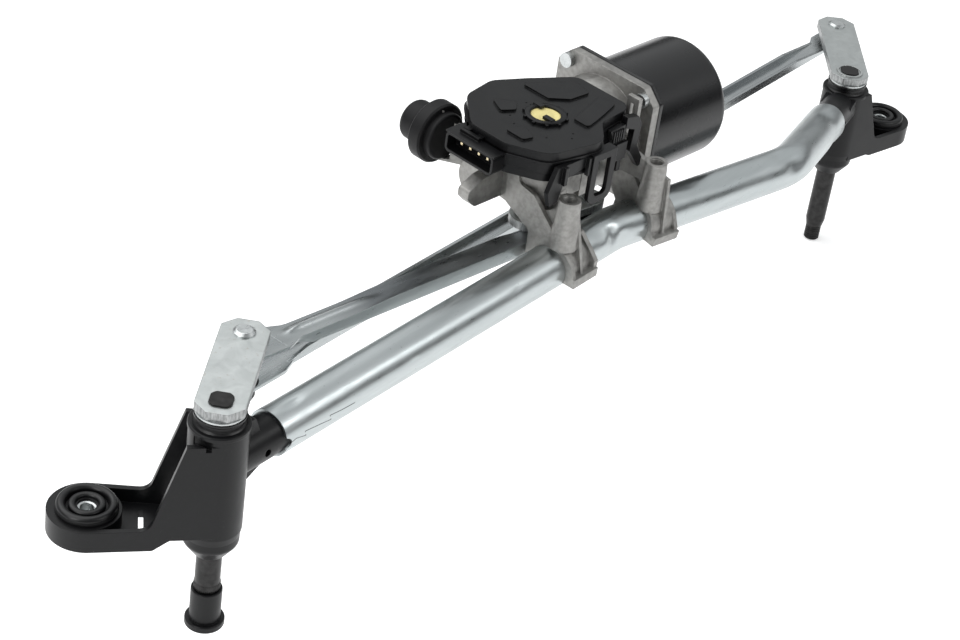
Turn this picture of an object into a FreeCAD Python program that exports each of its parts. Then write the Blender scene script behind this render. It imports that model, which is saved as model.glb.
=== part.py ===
"""Wiper linkage: tube frame, two pivot bearings, reversing gear motor and two link rods.

Frame: the origin is on the left pivot axis, in the plain stretch of its shaft below the bearing
housing.  +X runs to the right pivot, +Z points away from the wiper arms.  Millimetres.
"""
import FreeCAD
import Part
import math
import os
import re
import Sketcher
from FreeCAD import Placement, Rotation, Vector

SIZES = {
    # pivots
    "pivot_span": 630.0,
    "shaft_d": 13.0,
    "shaft_square": 11.5,
    "shaft_proud": 1.0,
    "running_play": 0.05,
    "thread_d": 9.7,
    "cone_height": 5.0,
    "left_lever_top": 104.0,
    "left_lever_length": 59.0,
    "left_lever_turn": 31.0,
    "left_plain_end": -7.0,
    "left_shaft_tip": -31.0,
    "right_lever_top": 58.0,
    "right_lever_length": 69.0,
    "right_lever_turn": 37.0,
    "right_plain_end": -56.9,
    "right_shaft_tip": -72.6,
    "groove_depth": 0.6,
    "cap_d": 16.0,
    "cap_flange_d": 20.4,
    "cap_flange_thick": 4.0,
    "cap_lip": 4.5,
    "cap_floor": 3.5,
    # levers and crank
    "lever_width": 25.0,
    "lever_thick": 5.0,
    "lever_heel": 10.9,
    "lever_toe": 11.5,
    "lever_clip": 7.0,
    "stake_ring_d": 17.6,
    "stake_ring_height": 0.8,
    "rivet_d": 8.0,
    "rivet_head_d": 11.6,
    "rivet_head_height": 2.0,
    "crank_radius": 43.5,
    "crank_turn": -16.3,
    "crank_top": 79.5,
    "crank_thick": 5.0,
    "crank_hub_r": 12.0,
    "crank_eye_r": 9.0,
    "sweep_gap": 1.0,
    # ball joints
    "ball_d": 12.5,
    "ball_play": 0.15,
    "neck_d": 7.6,
    "collar_d": 14.0,
    "collar_height": 2.0,
    "slide_gap": 0.3,
    "upper_ball_drop": 13.2,
    "lower_ball_drop": 33.0,
    "right_ball_drop": 13.0,
    "crank_ball_height": 62.0,
    "crank_web_rise": 5.0,
    "transfer_web_rise": 2.0,
    # link rods
    "sheet_thick": 2.0,
    "channel_width": 13.0,
    "eye_width": 20.0,
    "crank_eye_width": 18.0,
    "drive_flange": 6.8,
    "transfer_flange": 5.5,
    "socket_wall": 1.6,
    "socket_rim": 1.2,
    # bearing housings
    "barrel_d": 30.0,
    "barrel_step": 0.8,
    "step_low": 4.8,
    "step_high": 9.0,
    "rim_d": 31.0,
    "rim_height": 2.5,
    "nose_height": 8.0,
    "nose_d": 17.0,
    "left_barrel_bottom": 20.5,
    "right_barrel_bottom": -8.5,
    "seal_d": 26.0,
    "seal_height": 7.5,
    "seal_seat": 2.0,
    "washer_thick": 1.0,
    "washer_play": 0.2,
    "bush_wall": 1.5,
    "bush_length": 14.0,
    "bush_inset": 2.0,
    "bush_rise": 3.5,
    "bore_relief": 0.5,
    "nose_play": 0.3,
    "ring_thick": 1.2,
    "ring_d": 14.8,
    "ring_pocket_d": 15.2,
    "ring_pocket_depth": 1.6,
    "pocket_width": 10.7,
    "pocket_height": 5.5,
    "pocket_depth": 1.5,
    "pocket_turn": 190.0,
    # rubber mounted ears
    "ear_d": 39.5,
    "ear_thick": 12.0,
    "ear_hole_d": 25.0,
    "ear_ring_wall": 4.6,
    "ear_floor": 4.0,
    "arm_wall": 3.0,
    "slot_width": 2.6,
    "slot_length": 16.6,
    "slot_back": 26.3,
    "grommet_d": 31.0,
    "grommet_flange": 3.0,
    "grommet_band": 5.0,
    "grommet_core_d": 16.6,
    "sleeve_d": 9.5,
    "sleeve_bore_d": 6.6,
    "sleeve_proud": 0.3,
    "sleeve_foot": 4.0,
    "left_ear_x": -42.0,
    "left_ear_y": 44.0,
    "left_ear_top": 37.0,
    "left_arm_lift": 6.0,
    "left_wall_top": 87.0,
    "left_wall_x": 15.5,
    "left_wall_foot": 31.0,
    "right_ear_x": 51.0,
    "right_ear_y": -8.0,
    "right_ear_top": 7.0,
    "right_arm_lift": 1.5,
    "right_wall_top": 45.5,
    "right_wall_x": 8.5,
    "right_wall_foot": 23.0,
    "rib_thick": 4.0,
    "rib_drop": 22.0,
    "left_shoulder_top": 86.0,
    "left_shoulder_width": 10.0,
    "right_shoulder_top": 44.5,
    "right_shoulder_width": 21.0,
    "shoulder_reach": 25.0,
    # frame tube
    "tube_d": 25.4,
    "tube_wall": 1.5,
    "left_tube_gap": 36.5,
    "right_tube_gap": 50.0,
    "tube_bend_r": 70.0,
    "bend_one_x": 322.0,
    "bend_one_y": -12.9,
    "bend_one_z": 70.6,
    "bend_two_x": 485.0,
    "bend_two_y": -38.0,
    "bend_two_z": 59.5,
    "left_spigot_z": 66.0,
    "right_spigot_z": 34.0,
    "spigot_grip": 32.0,
    "spigot_hole_d": 4.2,
    "spigot_hole_back": 12.5,
    # gear motor
    "gear_x": 286.0,
    "gear_y": 21.0,
    "motor_turn": -7.4,
    "chamber_d": 46.0,
    "chamber_wall": 3.0,
    "chamber_bottom": 96.0,
    "seat_top": 130.0,
    "seat_thick": 4.0,
    "output_boss_d": 18.0,
    "output_boss_bottom": 80.0,
    "output_shaft_d": 10.0,
    "output_bush_wall": 1.5,
    "worm_offset": 19.3,
    "worm_rise": 7.0,
    "worm_d": 7.4,
    "worm_shaft_d": 5.0,
    "worm_length": 30.0,
    "worm_tube_d": 24.0,
    "worm_bore_d": 10.0,
    "dome_length": 30.0,
    "dome_margin": 4.0,
    "wheel_d": 30.8,
    "wheel_thick": 8.0,
    "wheel_teeth": 48,
    "tooth_depth": 1.4,
    "flange_u": 79.7,
    "flange_thick": 5.5,
    "flange_margin": 0.5,
    "flange_lift": 1.5,
    "flange_clip": 9.0,
    "gasket_thick": 1.0,
    "can_flange_thick": 2.5,
    "can_d": 73.0,
    "can_wall": 2.0,
    "can_length": 70.0,
    "magnet_thick": 7.0,
    "air_gap": 0.6,
    "can_nose": 12.0,
    "can_nose_height": 4.0,
    "can_corner_r": 6.0,
    "magnet_front": 20.0,
    "magnet_back": 8.0,
    "gasket_land": 4.0,
    "commutator_d": 24.0,
    "commutator_length": 16.0,
    "commutator_gap": 2.0,
    "core_front": 2.0,
    "core_back": 12.0,
    "rotor_bush_length": 5.0,
    "brush_width": 5.0,
    "brush_length": 10.0,
    "brush_height": 6.0,
    "holder_play": 2.0,
    "screw_d": 5.0,
    "screw_head_d": 9.0,
    "screw_head_height": 3.5,
    # cover and connector
    "cover_top": 143.0,
    "cover_wall": 2.2,
    "board_margin": 6.0,
    "disc_d": 17.0,
    "disc_thick": 1.0,
    "collar_ring_d": 23.0,
    "collar_ring_height": 1.4,
    "pad_height": 1.2,
    "loop_width": 19.0,
    "loop_height": 32.0,
    "loop_thick": 2.6,
    "loop_band": 4.5,
    "loop_u": 8.0,
    "loop_v": -38.5,
    "loop_drop": 6.0,
    "tab_width": 6.0,
    "tab_inset": 2.0,
    "tab_thick": 4.0,
    "connector_u": -50.0,
    "connector_v": 8.7,
    "connector_width": 36.0,
    "connector_height": 12.0,
    "connector_mid_z": 131.0,
    "connector_back": -41.0,
    "connector_root": -36.0,
    "shroud_wall": 1.5,
    "shroud_corner_r": 3.0,
    "pin_pitch": 6.6,
    "pin_size": 1.6,
    "pin_length": 9.5,
    "pin_set_back": 4.5,
    "board_thick": 1.6,
    "board_height": 134.5,
    # cast mounts
    "cast_web": 4.0,
    "boss_one_x": 265.9,
    "boss_one_y": -15.3,
    "boss_one_top": 114.0,
    "boss_two_x": 344.5,
    "boss_two_y": -21.6,
    "boss_two_top": 110.0,
    "boss_height": 30.0,
    "boss_flare": 4.0,
    "boss_d": 12.5,
    "boss_bore_d": 8.2,
    "boss_bore_depth": 24.0,
    "clamp_wall": 3.0,
    "clamp_one_x": 261.0,
    "clamp_two_x": 338.5,
    "clamp_length": 21.5,
    "clamp_foot": 4.5,
    "cheek_thick": 3.0,
    "fin_thick": 2.2,
    "fin_back": 8.5,
    "post_u": 55.0,
    "post_v": -18.0,
    "post_bottom": 112.0,
    "post_top": 147.0,
    "post_width": 8.5,
    "post_thick": 3.0,
    "post_slot": 3.2,
    "third_u": -33.0,
    "third_v": 50.0,
    "third_z": 120.0,
    "third_head_d": 24.0,
    "third_plate": 6.0,
    "third_flange": 6.0,
    "third_hole_d": 22.0,
    "third_rim": 2.0,
    "third_lug_rim": 5.0,
}

doc = FreeCAD.newDocument("WiperLinkage")
sheet = doc.addObject("Spreadsheet::Sheet", "Sizes")
for row, (alias, number) in enumerate(SIZES.items(), start=1):
    sheet.set(f"A{row}", alias)
    sheet.set(f"B{row}", str(number))
    sheet.setAlias(f"B{row}", alias)
doc.recompute()

nodes = []
UP = Vector(0, 0, 1)


def size(alias):
    """A driving dimension as a number."""
    return float(sheet.get(alias))


def formula(text):
    """An expression on the sheet, from one written with bare aliases."""
    return re.sub(r"[a-z_]+", lambda word: "Sizes." + word.group() if word.group() in SIZES
                  else word.group(), text)


def bind(item, **sizes):
    """Ties an object's sizes to the sheet."""
    for name, text in sizes.items():
        item.setExpression(name, formula(text))
    return item


def at(x=0.0, y=0.0, z=0.0, direction=UP, turn=0.0):
    """A placement: own +Z along the direction, after a turn about own Z."""
    return Placement(Vector(x, y, z), Rotation(UP, direction) * Rotation(UP, turn))


def cylinder(name, place, diameter, height):
    """A cylinder from its base centre along own +Z; the sizes are formulas."""
    item = bind(doc.addObject("Part::Cylinder", name), Radius=f"({diameter}) / 2", Height=height)
    item.Placement = place
    return item


def cone(name, place, base, top, height):
    """A cone frustum; base and top are diameters, as formulas."""
    item = bind(doc.addObject("Part::Cone", name), Radius1=f"({base}) / 2", Radius2=f"({top}) / 2",
                Height=height)
    item.Placement = place
    return item


def block(name, place, length, width, height):
    """A box centred on own X and Y, standing on its own XY plane."""
    item = bind(doc.addObject("Part::Box", name), Length=length, Width=width, Height=height)
    middle = Vector(-item_value(length) / 2, -item_value(width) / 2, 0)
    item.Placement = place * Placement(middle, Rotation())
    return item


def item_value(text):
    """The number that a formula gives."""
    return float(sheet.evalExpression(formula(text)))


def ball(name, place, diameter):
    """A sphere."""
    item = bind(doc.addObject("Part::Sphere", name), Radius=f"({diameter}) / 2")
    item.Placement = place
    return item


def fuse(name, items):
    """The union of several objects."""
    item = doc.addObject("Part::MultiFuse", name)
    item.Shapes = items
    item.Refine = True
    return item


def cut(name, base, *tools):
    """The base less its tools."""
    item = doc.addObject("Part::Cut", name)
    item.Base = base
    item.Tool = tools[0] if len(tools) == 1 else fuse(name + "_tools", list(tools))
    item.Refine = True
    return item


def common(name, *items):
    """What several objects share."""
    item = doc.addObject("Part::MultiCommon", name)
    item.Shapes = list(items)
    return item


def group(name, items):
    """Separate solids kept in one node."""
    item = doc.addObject("Part::Compound", name)
    item.Links = items
    return item


def node(label, item):
    """Marks an object as a finished piece."""
    item.Label = label
    nodes.append(item)
    return item


def rounded(points):
    """A closed outline; each point is (x, y) or (x, y, corner radius)."""
    corners = [Vector(point[0], point[1], 0) for point in points]
    stretches = []
    for index, point in enumerate(points):
        corner = corners[index]
        if len(point) < 3:
            stretches.append((corner, corner, None))
            continue
        back = (corners[index - 1] - corner).normalize()
        ahead = (corners[(index + 1) % len(points)] - corner).normalize()
        half = back.getAngle(ahead) / 2
        reach = point[2] / math.tan(half)
        bulge = (back + ahead).normalize() * (point[2] / math.sin(half) - point[2])
        start, end = corner + back * reach, corner + ahead * reach
        stretches.append((start, end, Part.Arc(start, corner + bulge, end)))
    edges = []
    for index, (start, end, arc) in enumerate(stretches):
        if arc:
            edges.append(arc)
        following = stretches[(index + 1) % len(stretches)][0]
        if end.distanceToPoint(following) > 1e-6:
            edges.append(Part.LineSegment(end, following))
    return edges


def strap(first_r, second_r, length):
    """The outline round two circles, the second at x = length."""
    lean = math.asin((first_r - second_r) / length)
    touch = Vector(math.sin(lean), math.cos(lean), 0)
    mirror = Vector(touch.x, -touch.y, 0)
    far = Vector(length, 0, 0)
    return [Part.Arc(touch * first_r, Vector(-first_r, 0, 0), mirror * first_r),
            Part.LineSegment(mirror * first_r, far + mirror * second_r),
            Part.Arc(far + mirror * second_r, Vector(length + second_r, 0, 0), far + touch * second_r),
            Part.LineSegment(far + touch * second_r, touch * first_r)]


def sketch_on(body, plane, edges, holes=()):
    """A sketch on one of the body's own planes."""
    sketch = body.newObject("Sketcher::SketchObject", body.Name + "_sketch")
    support = [feature for feature in body.Origin.OriginFeatures if feature.Role == plane][0]
    sketch.AttachmentSupport = [(support, "")]
    sketch.MapMode = "FlatFace"
    sketch.addGeometry(edges, False)
    for x, y, diameter in holes:
        index = sketch.addGeometry(Part.Circle(Vector(x, y, 0), UP, item_value(diameter) / 2), False)
        rule = sketch.addConstraint(Sketcher.Constraint("Diameter", index, item_value(diameter)))
        sketch.setExpression(f"Constraints[{rule}]", formula(diameter))
    return sketch


def plate(name, place, edges, thick, holes=()):
    """A flat piece: an outline on own XY, padded along own +Z."""
    body = doc.addObject("PartDesign::Body", name)
    pad = body.newObject("PartDesign::Pad", name + "_pad")
    pad.Profile = sketch_on(body, "XY_Plane", edges, holes)
    bind(pad, Length=thick)
    body.Tip = pad
    body.Placement = place
    return body


def turned(name, place, profile):
    """A turned piece: points (radius, height) round own Z."""
    body = doc.addObject("PartDesign::Body", name)
    spin = body.newObject("PartDesign::Revolution", name + "_spin")
    sketch = sketch_on(body, "XZ_Plane", rounded(profile))
    spin.Profile = sketch
    spin.ReferenceAxis = (sketch, ["V_Axis"])
    spin.Angle = 360
    body.Tip = spin
    body.Placement = place
    return body


def upright(name, place, edges, thick):
    """A plate standing in own XZ, centred on it: outline points are (own x, own z)."""
    half = Placement(Vector(0, item_value(thick) / 2, 0), Rotation(Vector(1, 0, 0), 90))
    return plate(name, place * half, edges, thick)


def polar(radius, degrees, z=0.0):
    """A point at a radius and an angle from +X."""
    return Vector(radius * math.cos(math.radians(degrees)), radius * math.sin(math.radians(degrees)), z)


# Where the moving points stand at rest.
left_axis = Vector(0, 0, 0)
right_axis = Vector(size("pivot_span"), 0, 0)
gear_axis = Vector(size("gear_x"), size("gear_y"), 0)
left_pin = left_axis + polar(size("left_lever_length"), size("left_lever_turn"))
right_pin = right_axis + polar(size("right_lever_length"), size("right_lever_turn"))
crank_pin = gear_axis + polar(size("crank_radius"), size("crank_turn"))
upper_ball = left_pin + UP * (size("left_lever_top") - size("upper_ball_drop"))
lower_ball = left_pin + UP * (size("left_lever_top") - size("lower_ball_drop"))
right_ball = right_pin + UP * (size("right_lever_top") - size("right_ball_drop"))
crank_ball = crank_pin + UP * size("crank_ball_height")

# The tube's route: two slight bends between the housings' spigots.
left_root = left_axis + UP * size("left_spigot_z")
right_root = right_axis + UP * size("right_spigot_z")
bend_one = Vector(size("bend_one_x"), size("bend_one_y"), size("bend_one_z"))
bend_two = Vector(size("bend_two_x"), size("bend_two_y"), size("bend_two_z"))
left_run = (bend_one - left_root).normalize()
right_run = (bend_two - right_root).normalize()


def tube_path():
    """Straight runs joined by tangent arcs, end to end of the tube."""
    route = [left_root + left_run * size("left_tube_gap"), bend_one, bend_two,
             right_root + right_run * size("right_tube_gap")]
    edges, start = [], route[0]
    for before, corner, after in zip(route, route[1:], route[2:]):
        back, ahead = (before - corner).normalize(), (after - corner).normalize()
        half = back.getAngle(ahead) / 2
        radius = size("tube_bend_r")
        reach = radius / math.tan(half)
        bulge = (back + ahead).normalize() * (radius / math.sin(half) - radius)
        enter, leave = corner + back * reach, corner + ahead * reach
        edges += [Part.LineSegment(start, enter), Part.Arc(enter, corner + bulge, leave)]
        start = leave
    edges.append(Part.LineSegment(start, route[-1]))
    path = doc.addObject("Part::Feature", "tube_path")
    path.Shape = Part.Wire([edge.toShape() for edge in edges])
    return path


def swept(name, path, diameter):
    """A round bar along the tube's path."""
    ring = bind(doc.addObject("Part::Circle", name + "_ring"), Radius=f"({diameter}) / 2")
    start = path.Shape.Vertexes[0].Point
    ring.Placement = Placement(start, Rotation(UP, left_run))
    sweep = doc.addObject("Part::Sweep", name)
    sweep.Sections = [ring]
    sweep.Spine = (path, [f"Edge{number + 1}" for number in range(len(path.Shape.Edges))])
    sweep.Solid = True
    sweep.Frenet = False
    return sweep


path = tube_path()
tube_outside = swept("tube_outside", path, "tube_d")
tube_inside = swept("tube_inside", path, "tube_d - 2 * tube_wall")
node("frame_tube", cut("frame_tube_cut", tube_outside, tube_inside))


def arm_profile(side, length, rise):
    """The walled arm seen from its side: it drops from the barrel in a slope to the flat ear."""
    thick, lift, end = size("ear_thick"), size(f"{side}_arm_lift"), length + size("ear_d")
    foot, top_x = size(f"{side}_wall_foot"), size(f"{side}_wall_x")
    step = foot - size("ear_floor") / 2
    return rounded([(-1, lift), (step - lift - 2, lift, 3), (step, 0, 3), (end, 0), (end, thick),
                    (foot, thick, 7), (top_x, rise), (-1, rise)])


def walled_arm(side, place, length):
    """The open tray between the barrel and the ear, with a ring round the grommet and a slot."""
    barrel_r, ear_r = size("barrel_d") / 2, size("ear_d") / 2
    height = f"{side}_wall_top - {side}_ear_top + ear_thick"
    outline = plate(side + "_arm_outline", place, strap(barrel_r, ear_r, length), height)
    profile = upright(side + "_arm_profile", place, arm_profile(side, length, item_value(height)),
                      "2 * ear_d")
    wall = size("arm_wall")
    tray = plate(side + "_tray", place * at(z=size("ear_floor")),
                 strap(barrel_r - wall, ear_r - wall, length), height)
    ring = cylinder(side + "_ear_ring", place * at(length), "ear_hole_d + 2 * ear_ring_wall", height)
    slot = block(side + "_slot", place * at(length - size("slot_back"), 0, -1), "slot_width",
                 "slot_length", "ear_floor + 2")
    return cut(side + "_arm", common(side + "_arm_solid", outline, profile),
               cut(side + "_tray_cut", tray, ring), slot)


def tube_rib(side, axis, root, run):
    """The rib under the spigot and the shoulder that carries it on the barrel's side."""
    heading = math.degrees(math.atan2(run.y, run.x))
    place = Placement(Vector(axis.x, axis.y, root.z), Rotation(UP, heading))
    barrel_r, spigot_r = size("barrel_d") / 2, size("tube_d") / 2 - size("tube_wall")
    gap, reach = size(f"{side}_tube_gap"), size("shoulder_reach")
    crown = size(f"{side}_shoulder_top") - root.z
    rib = upright(side + "_rib", place, rounded([(0, 0), (gap, 0), (gap, -spigot_r),
                                                 (barrel_r, -size("rib_drop")), (0, -size("rib_drop"))]),
                  "rib_thick")
    slope = max(crown - spigot_r, 0) / 2
    shoulder = upright(side + "_shoulder", place, rounded([
        (0, 0), (reach, 0), (reach, spigot_r - 2), (reach - slope, crown, 1.5), (0, crown)]),
        f"{side}_shoulder_width")
    return [rib, shoulder]


def bearing_housing(side, axis, root, run):
    """Barrel with bush seats and rim, walled arm with its ear, and the spigot that the tube grips."""
    seat = f"{side}_lever_top - lever_thick - washer_thick - washer_play - seal_height"
    floor, bottom = item_value(seat), size(f"{side}_barrel_bottom")
    low, rim_top = bottom - size("nose_height"), floor + size("seal_seat")
    ear = Vector(size(f"{side}_ear_x"), size(f"{side}_ear_y"), 0)
    ear_z = size(f"{side}_ear_top") - size("ear_thick")
    barrel_r, rim_r = size("barrel_d") / 2, size("rim_d") / 2
    step_r, rim_low = barrel_r - size("barrel_step"), rim_top - size("rim_height")
    barrel = turned(side + "_barrel", at(axis.x, axis.y, 0), [
        (0, low), (size("nose_d") / 2, low), (step_r, bottom, 4), (step_r, bottom + size("step_low")),
        (barrel_r, bottom + size("step_high")), (barrel_r, rim_low), (rim_r, rim_low),
        (rim_r, rim_top, 0.8), (0, rim_top)])
    turn = math.degrees(math.atan2(ear.y, ear.x))
    arm_place = Placement(Vector(axis.x, axis.y, ear_z), Rotation(UP, turn))
    spigot = cylinder(side + "_spigot", at(root.x, root.y, root.z, run), "tube_d - 2 * tube_wall",
                      f"{side}_tube_gap + spigot_grip")
    solids = [barrel, walled_arm(side, arm_place, ear.Length), spigot, *tube_rib(side, axis, root, run)]
    bush_d = "shaft_d + 2 * bush_wall + 2 * running_play"
    lower = low + size("bush_rise")
    upper = floor - size("bush_inset") - size("bush_length")
    wall_turn = Rotation(UP, size("pocket_turn"))
    hollow_place = Placement(Vector(axis.x, axis.y, rim_low - size("pocket_height")), wall_turn)
    through = root + run * (size(f"{side}_tube_gap") - size("spigot_hole_back"))
    tools = [
        cylinder(side + "_nose_hole", at(axis.x, axis.y, low), "shaft_d + 2 * nose_play",
                 f"{seat} - {side}_barrel_bottom + nose_height"),
        cylinder(side + "_ring_pocket", at(axis.x, axis.y, low), "ring_pocket_d", "ring_pocket_depth"),
        cylinder(side + "_lower_seat", at(axis.x, axis.y, lower), bush_d, "bush_length"),
        cylinder(side + "_bore", at(axis.x, axis.y, lower), f"{bush_d} - 2 * bore_relief",
                 f"{seat} - {side}_barrel_bottom + nose_height - bush_rise"),
        cylinder(side + "_upper_seat", at(axis.x, axis.y, upper), bush_d, "bush_inset + bush_length"),
        cylinder(side + "_seal_seat", at(axis.x, axis.y, floor), "seal_d", "seal_height"),
        cylinder(side + "_ear_hole", at(axis.x + ear.x, axis.y + ear.y, ear_z), "ear_hole_d",
                 "ear_thick"),
        block(side + "_pocket", hollow_place * at(barrel_r), "2 * pocket_depth", "pocket_width",
              "pocket_height"),
        cylinder(side + "_cross_hole", at(through.x, through.y + size("tube_d"), through.z,
                                          Vector(0, -1, 0)), "spigot_hole_d", "2 * tube_d")]
    node(side + "_bearing_housing", cut(side + "_housing", fuse(side + "_solid", solids), *tools))

    bushes = []
    for end, z in (("upper", upper), ("lower", lower)):
        place = at(axis.x, axis.y, z)
        outer = cylinder(f"{side}_{end}_bush_outer", place, bush_d, "bush_length")
        inner = cylinder(f"{side}_{end}_bush_inner", place, "shaft_d + 2 * running_play", "bush_length")
        bushes.append(cut(f"{side}_{end}_bush", outer, inner))
    node(side + "_shaft_bushes", group(side + "_bush_pair", bushes))

    seal_r, hole_r = size("seal_d") / 2, size("shaft_d") / 2 + size("running_play")
    height, lip = size("seal_height"), size("seal_seat")
    node(side + "_shaft_seal", turned(side + "_seal", at(axis.x, axis.y, floor), [
        (hole_r, 0), (seal_r, 0), (seal_r, lip), (seal_r - 1, lip + 1, 1), (seal_r - 1, height - 2),
        (seal_r, height - 1), (seal_r, height), (hole_r, height)]))
    rubber_ear(side, at(axis.x + ear.x, axis.y + ear.y, ear_z))


def rubber_ear(side, place):
    """The grommet with its thick outer ring and thinner inner one, and the sleeve in it."""
    grommet_r, waist, flange = size("grommet_d") / 2, size("ear_hole_d") / 2, size("grommet_flange")
    thick, sleeve_r, core_r = size("ear_thick"), size("sleeve_d") / 2, size("grommet_core_d") / 2
    band_r, groove = grommet_r - size("grommet_band"), thick + 0.8
    node(side + "_grommet", turned(side + "_rubber", place, [
        (sleeve_r, -flange), (grommet_r, -flange, 1.2), (grommet_r, 0), (waist, 0), (waist, thick),
        (grommet_r, thick), (grommet_r, thick + flange, 1.8), (band_r, thick + flange, 1.8),
        (band_r, groove), (core_r, groove), (core_r, thick + flange - 1, 0.9),
        (sleeve_r, thick + flange - 1)]))
    bore_r, top, foot = size("sleeve_bore_d") / 2, thick + size("sleeve_proud"), -size("sleeve_foot")
    node(side + "_grommet_sleeve", turned(side + "_sleeve", place, [
        (bore_r, foot), (sleeve_r, foot), (sleeve_r, top), (bore_r, top)]))


bearing_housing("left", left_axis, left_root, left_run)
bearing_housing("right", right_axis, right_root, right_run)


def square_end(name, side, axis, grow=0.0):
    """The shaft's squared top, with the shaft's own round left at its corners."""
    low = size(f"{side}_lever_top") - size("lever_thick")
    turn = size(f"{side}_lever_turn")
    faces = block(name + "_faces", Placement(Vector(axis.x, axis.y, low), Rotation(UP, turn)),
                  "shaft_square", "shaft_square", "lever_thick + shaft_proud")
    round_part = cylinder(name + "_round", at(axis.x, axis.y, low), "shaft_d",
                          "lever_thick + shaft_proud")
    return common(name, faces, round_part)


def lever(side, axis, extra=()):
    """A flat lever with clipped corners, a squared hole and the rivet's hole."""
    width, heel = size("lever_width") / 2, size("lever_heel")
    toe = size(f"{side}_lever_length") + size("lever_toe")
    clip = size("lever_clip")
    low = size(f"{side}_lever_top") - size("lever_thick")
    outline = rounded([(-heel + clip, -width, 1.5), (toe - clip, -width, 1.5), (toe, -width + clip, 1.5),
                       (toe, width - clip, 1.5), (toe - clip, width, 1.5), (-heel + clip, width, 1.5),
                       (-heel, width - clip, 1.5), (-heel, -width + clip, 1.5)])
    place = Placement(Vector(axis.x, axis.y, low), Rotation(UP, size(f"{side}_lever_turn")))
    flat = plate(side + "_lever_flat", place, outline, "lever_thick",
                 [(size(f"{side}_lever_length"), 0, "rivet_d")])
    blank = fuse(side + "_lever_blank", [flat, *extra]) if extra else flat
    node(side + "_lever", cut(side + "_lever_cut", blank, square_end(side + "_square_hole", side, axis)))


def stake_ring(axis):
    """The raised ring round the right shaft's squared end."""
    place = at(axis.x, axis.y, size("right_lever_top"))
    outer = cylinder("stake_outer", place, "stake_ring_d", "stake_ring_height")
    inner = cylinder("stake_inner", place, "stake_ring_d - 3", "stake_ring_height")
    return cut("stake_ring", outer, inner)


lever("left", left_axis)
lever("right", right_axis, [stake_ring(right_axis)])


def pivot_shaft(side, axis):
    """Plain shaft, grooved for its ring, with a cone and a threaded end for the wiper arm."""
    radius, thread_r = size("shaft_d") / 2, size("thread_d") / 2
    plain, tip = size(f"{side}_plain_end"), size(f"{side}_shaft_tip")
    top = size(f"{side}_lever_top") - size("lever_thick")
    ring_z = size(f"{side}_barrel_bottom") - size("nose_height") + size("washer_play")
    groove_r, groove_top = radius - size("groove_depth"), ring_z + size("ring_thick")
    body = turned(side + "_shaft_turned", at(axis.x, axis.y, 0), [
        (0, tip), (thread_r - 1, tip), (thread_r, tip + 1), (thread_r, plain - size("cone_height")),
        (thread_r + 0.6, plain - size("cone_height")), (radius, plain), (radius, ring_z),
        (groove_r, ring_z), (groove_r, groove_top), (radius, groove_top), (radius, top), (0, top)])
    node(side + "_pivot_shaft", fuse(side + "_shaft", [body, square_end(side + "_square", side, axis)]))
    washer_place = at(axis.x, axis.y, top - size("washer_thick"))
    washer = cylinder(side + "_washer_outer", washer_place, "seal_d - 1", "washer_thick")
    hole = cylinder(side + "_washer_hole", washer_place, "shaft_d", "washer_thick")
    node(side + "_thrust_washer", cut(side + "_washer", washer, hole))
    ring_place = at(axis.x, axis.y, ring_z)
    ring = cylinder(side + "_ring_outer", ring_place, "ring_d", "ring_thick")
    gap = cylinder(side + "_ring_hole", ring_place, "shaft_d - 2 * groove_depth", "ring_thick")
    node(side + "_retaining_ring", cut(side + "_ring", ring, gap))


pivot_shaft("left", left_axis)
pivot_shaft("right", right_axis)


def protector_cap():
    """The plastic cap left on the shaft's thread until the wiper arm is fitted."""
    end, tip = size("left_plain_end"), size("left_shaft_tip")
    radius, thread_r = size("shaft_d") / 2, size("thread_d") / 2
    cap_r, flange_r = size("cap_d") / 2, size("cap_flange_d") / 2
    low, lip = tip - size("cap_floor"), end - size("cap_lip")
    flange_top = low + size("cap_flange_thick")
    outside = [(0, low), (flange_r, low, 0.8), (flange_r, flange_top, 0.8), (cap_r, flange_top),
               (cap_r, lip, 0.6), (0, lip)]
    hollow = [(0, tip), (thread_r, tip), (thread_r, end - size("cone_height")),
              (thread_r + 0.6, end - size("cone_height")), (radius, end), (0, end)]
    body = turned("cap_outside", at(), outside)
    return cut("cap", body, turned("cap_hollow", at(), hollow))


node("shaft_protector_cap", protector_cap())


def stud(name, centre, balls, top, shank):
    """A ball stud: collar under the arm, one or two balls, and a shank where it is riveted."""
    bottom = min(balls)
    pieces = [ball(f"{name}_ball_{index}", at(centre.x, centre.y, z), "ball_d")
              for index, z in enumerate(balls)]
    neck = doc.addObject("Part::Cylinder", name + "_neck")
    bind(neck, Radius="neck_d / 2")
    neck.Height = top - bottom
    neck.Placement = at(centre.x, centre.y, bottom)
    collar = cylinder(name + "_collar", at(centre.x, centre.y, top - size("collar_height")),
                      "collar_d", "collar_height")
    return fuse(name, [*pieces, neck, collar, *shank])


def rivet(name, centre, low, thick):
    """The shank in its hole and the head formed on top."""
    shank = cylinder(name + "_shank", at(centre.x, centre.y, low), "rivet_d", thick)
    top = low + item_value(thick)
    head_r, height = size("rivet_head_d") / 2, size("rivet_head_height")
    head = turned(name + "_head", at(centre.x, centre.y, top),
                  [(0, 0), (head_r, 0), (head_r, height * 0.4), (head_r - 1.6, height, 1), (0, height)])
    return [shank, head]


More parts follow.
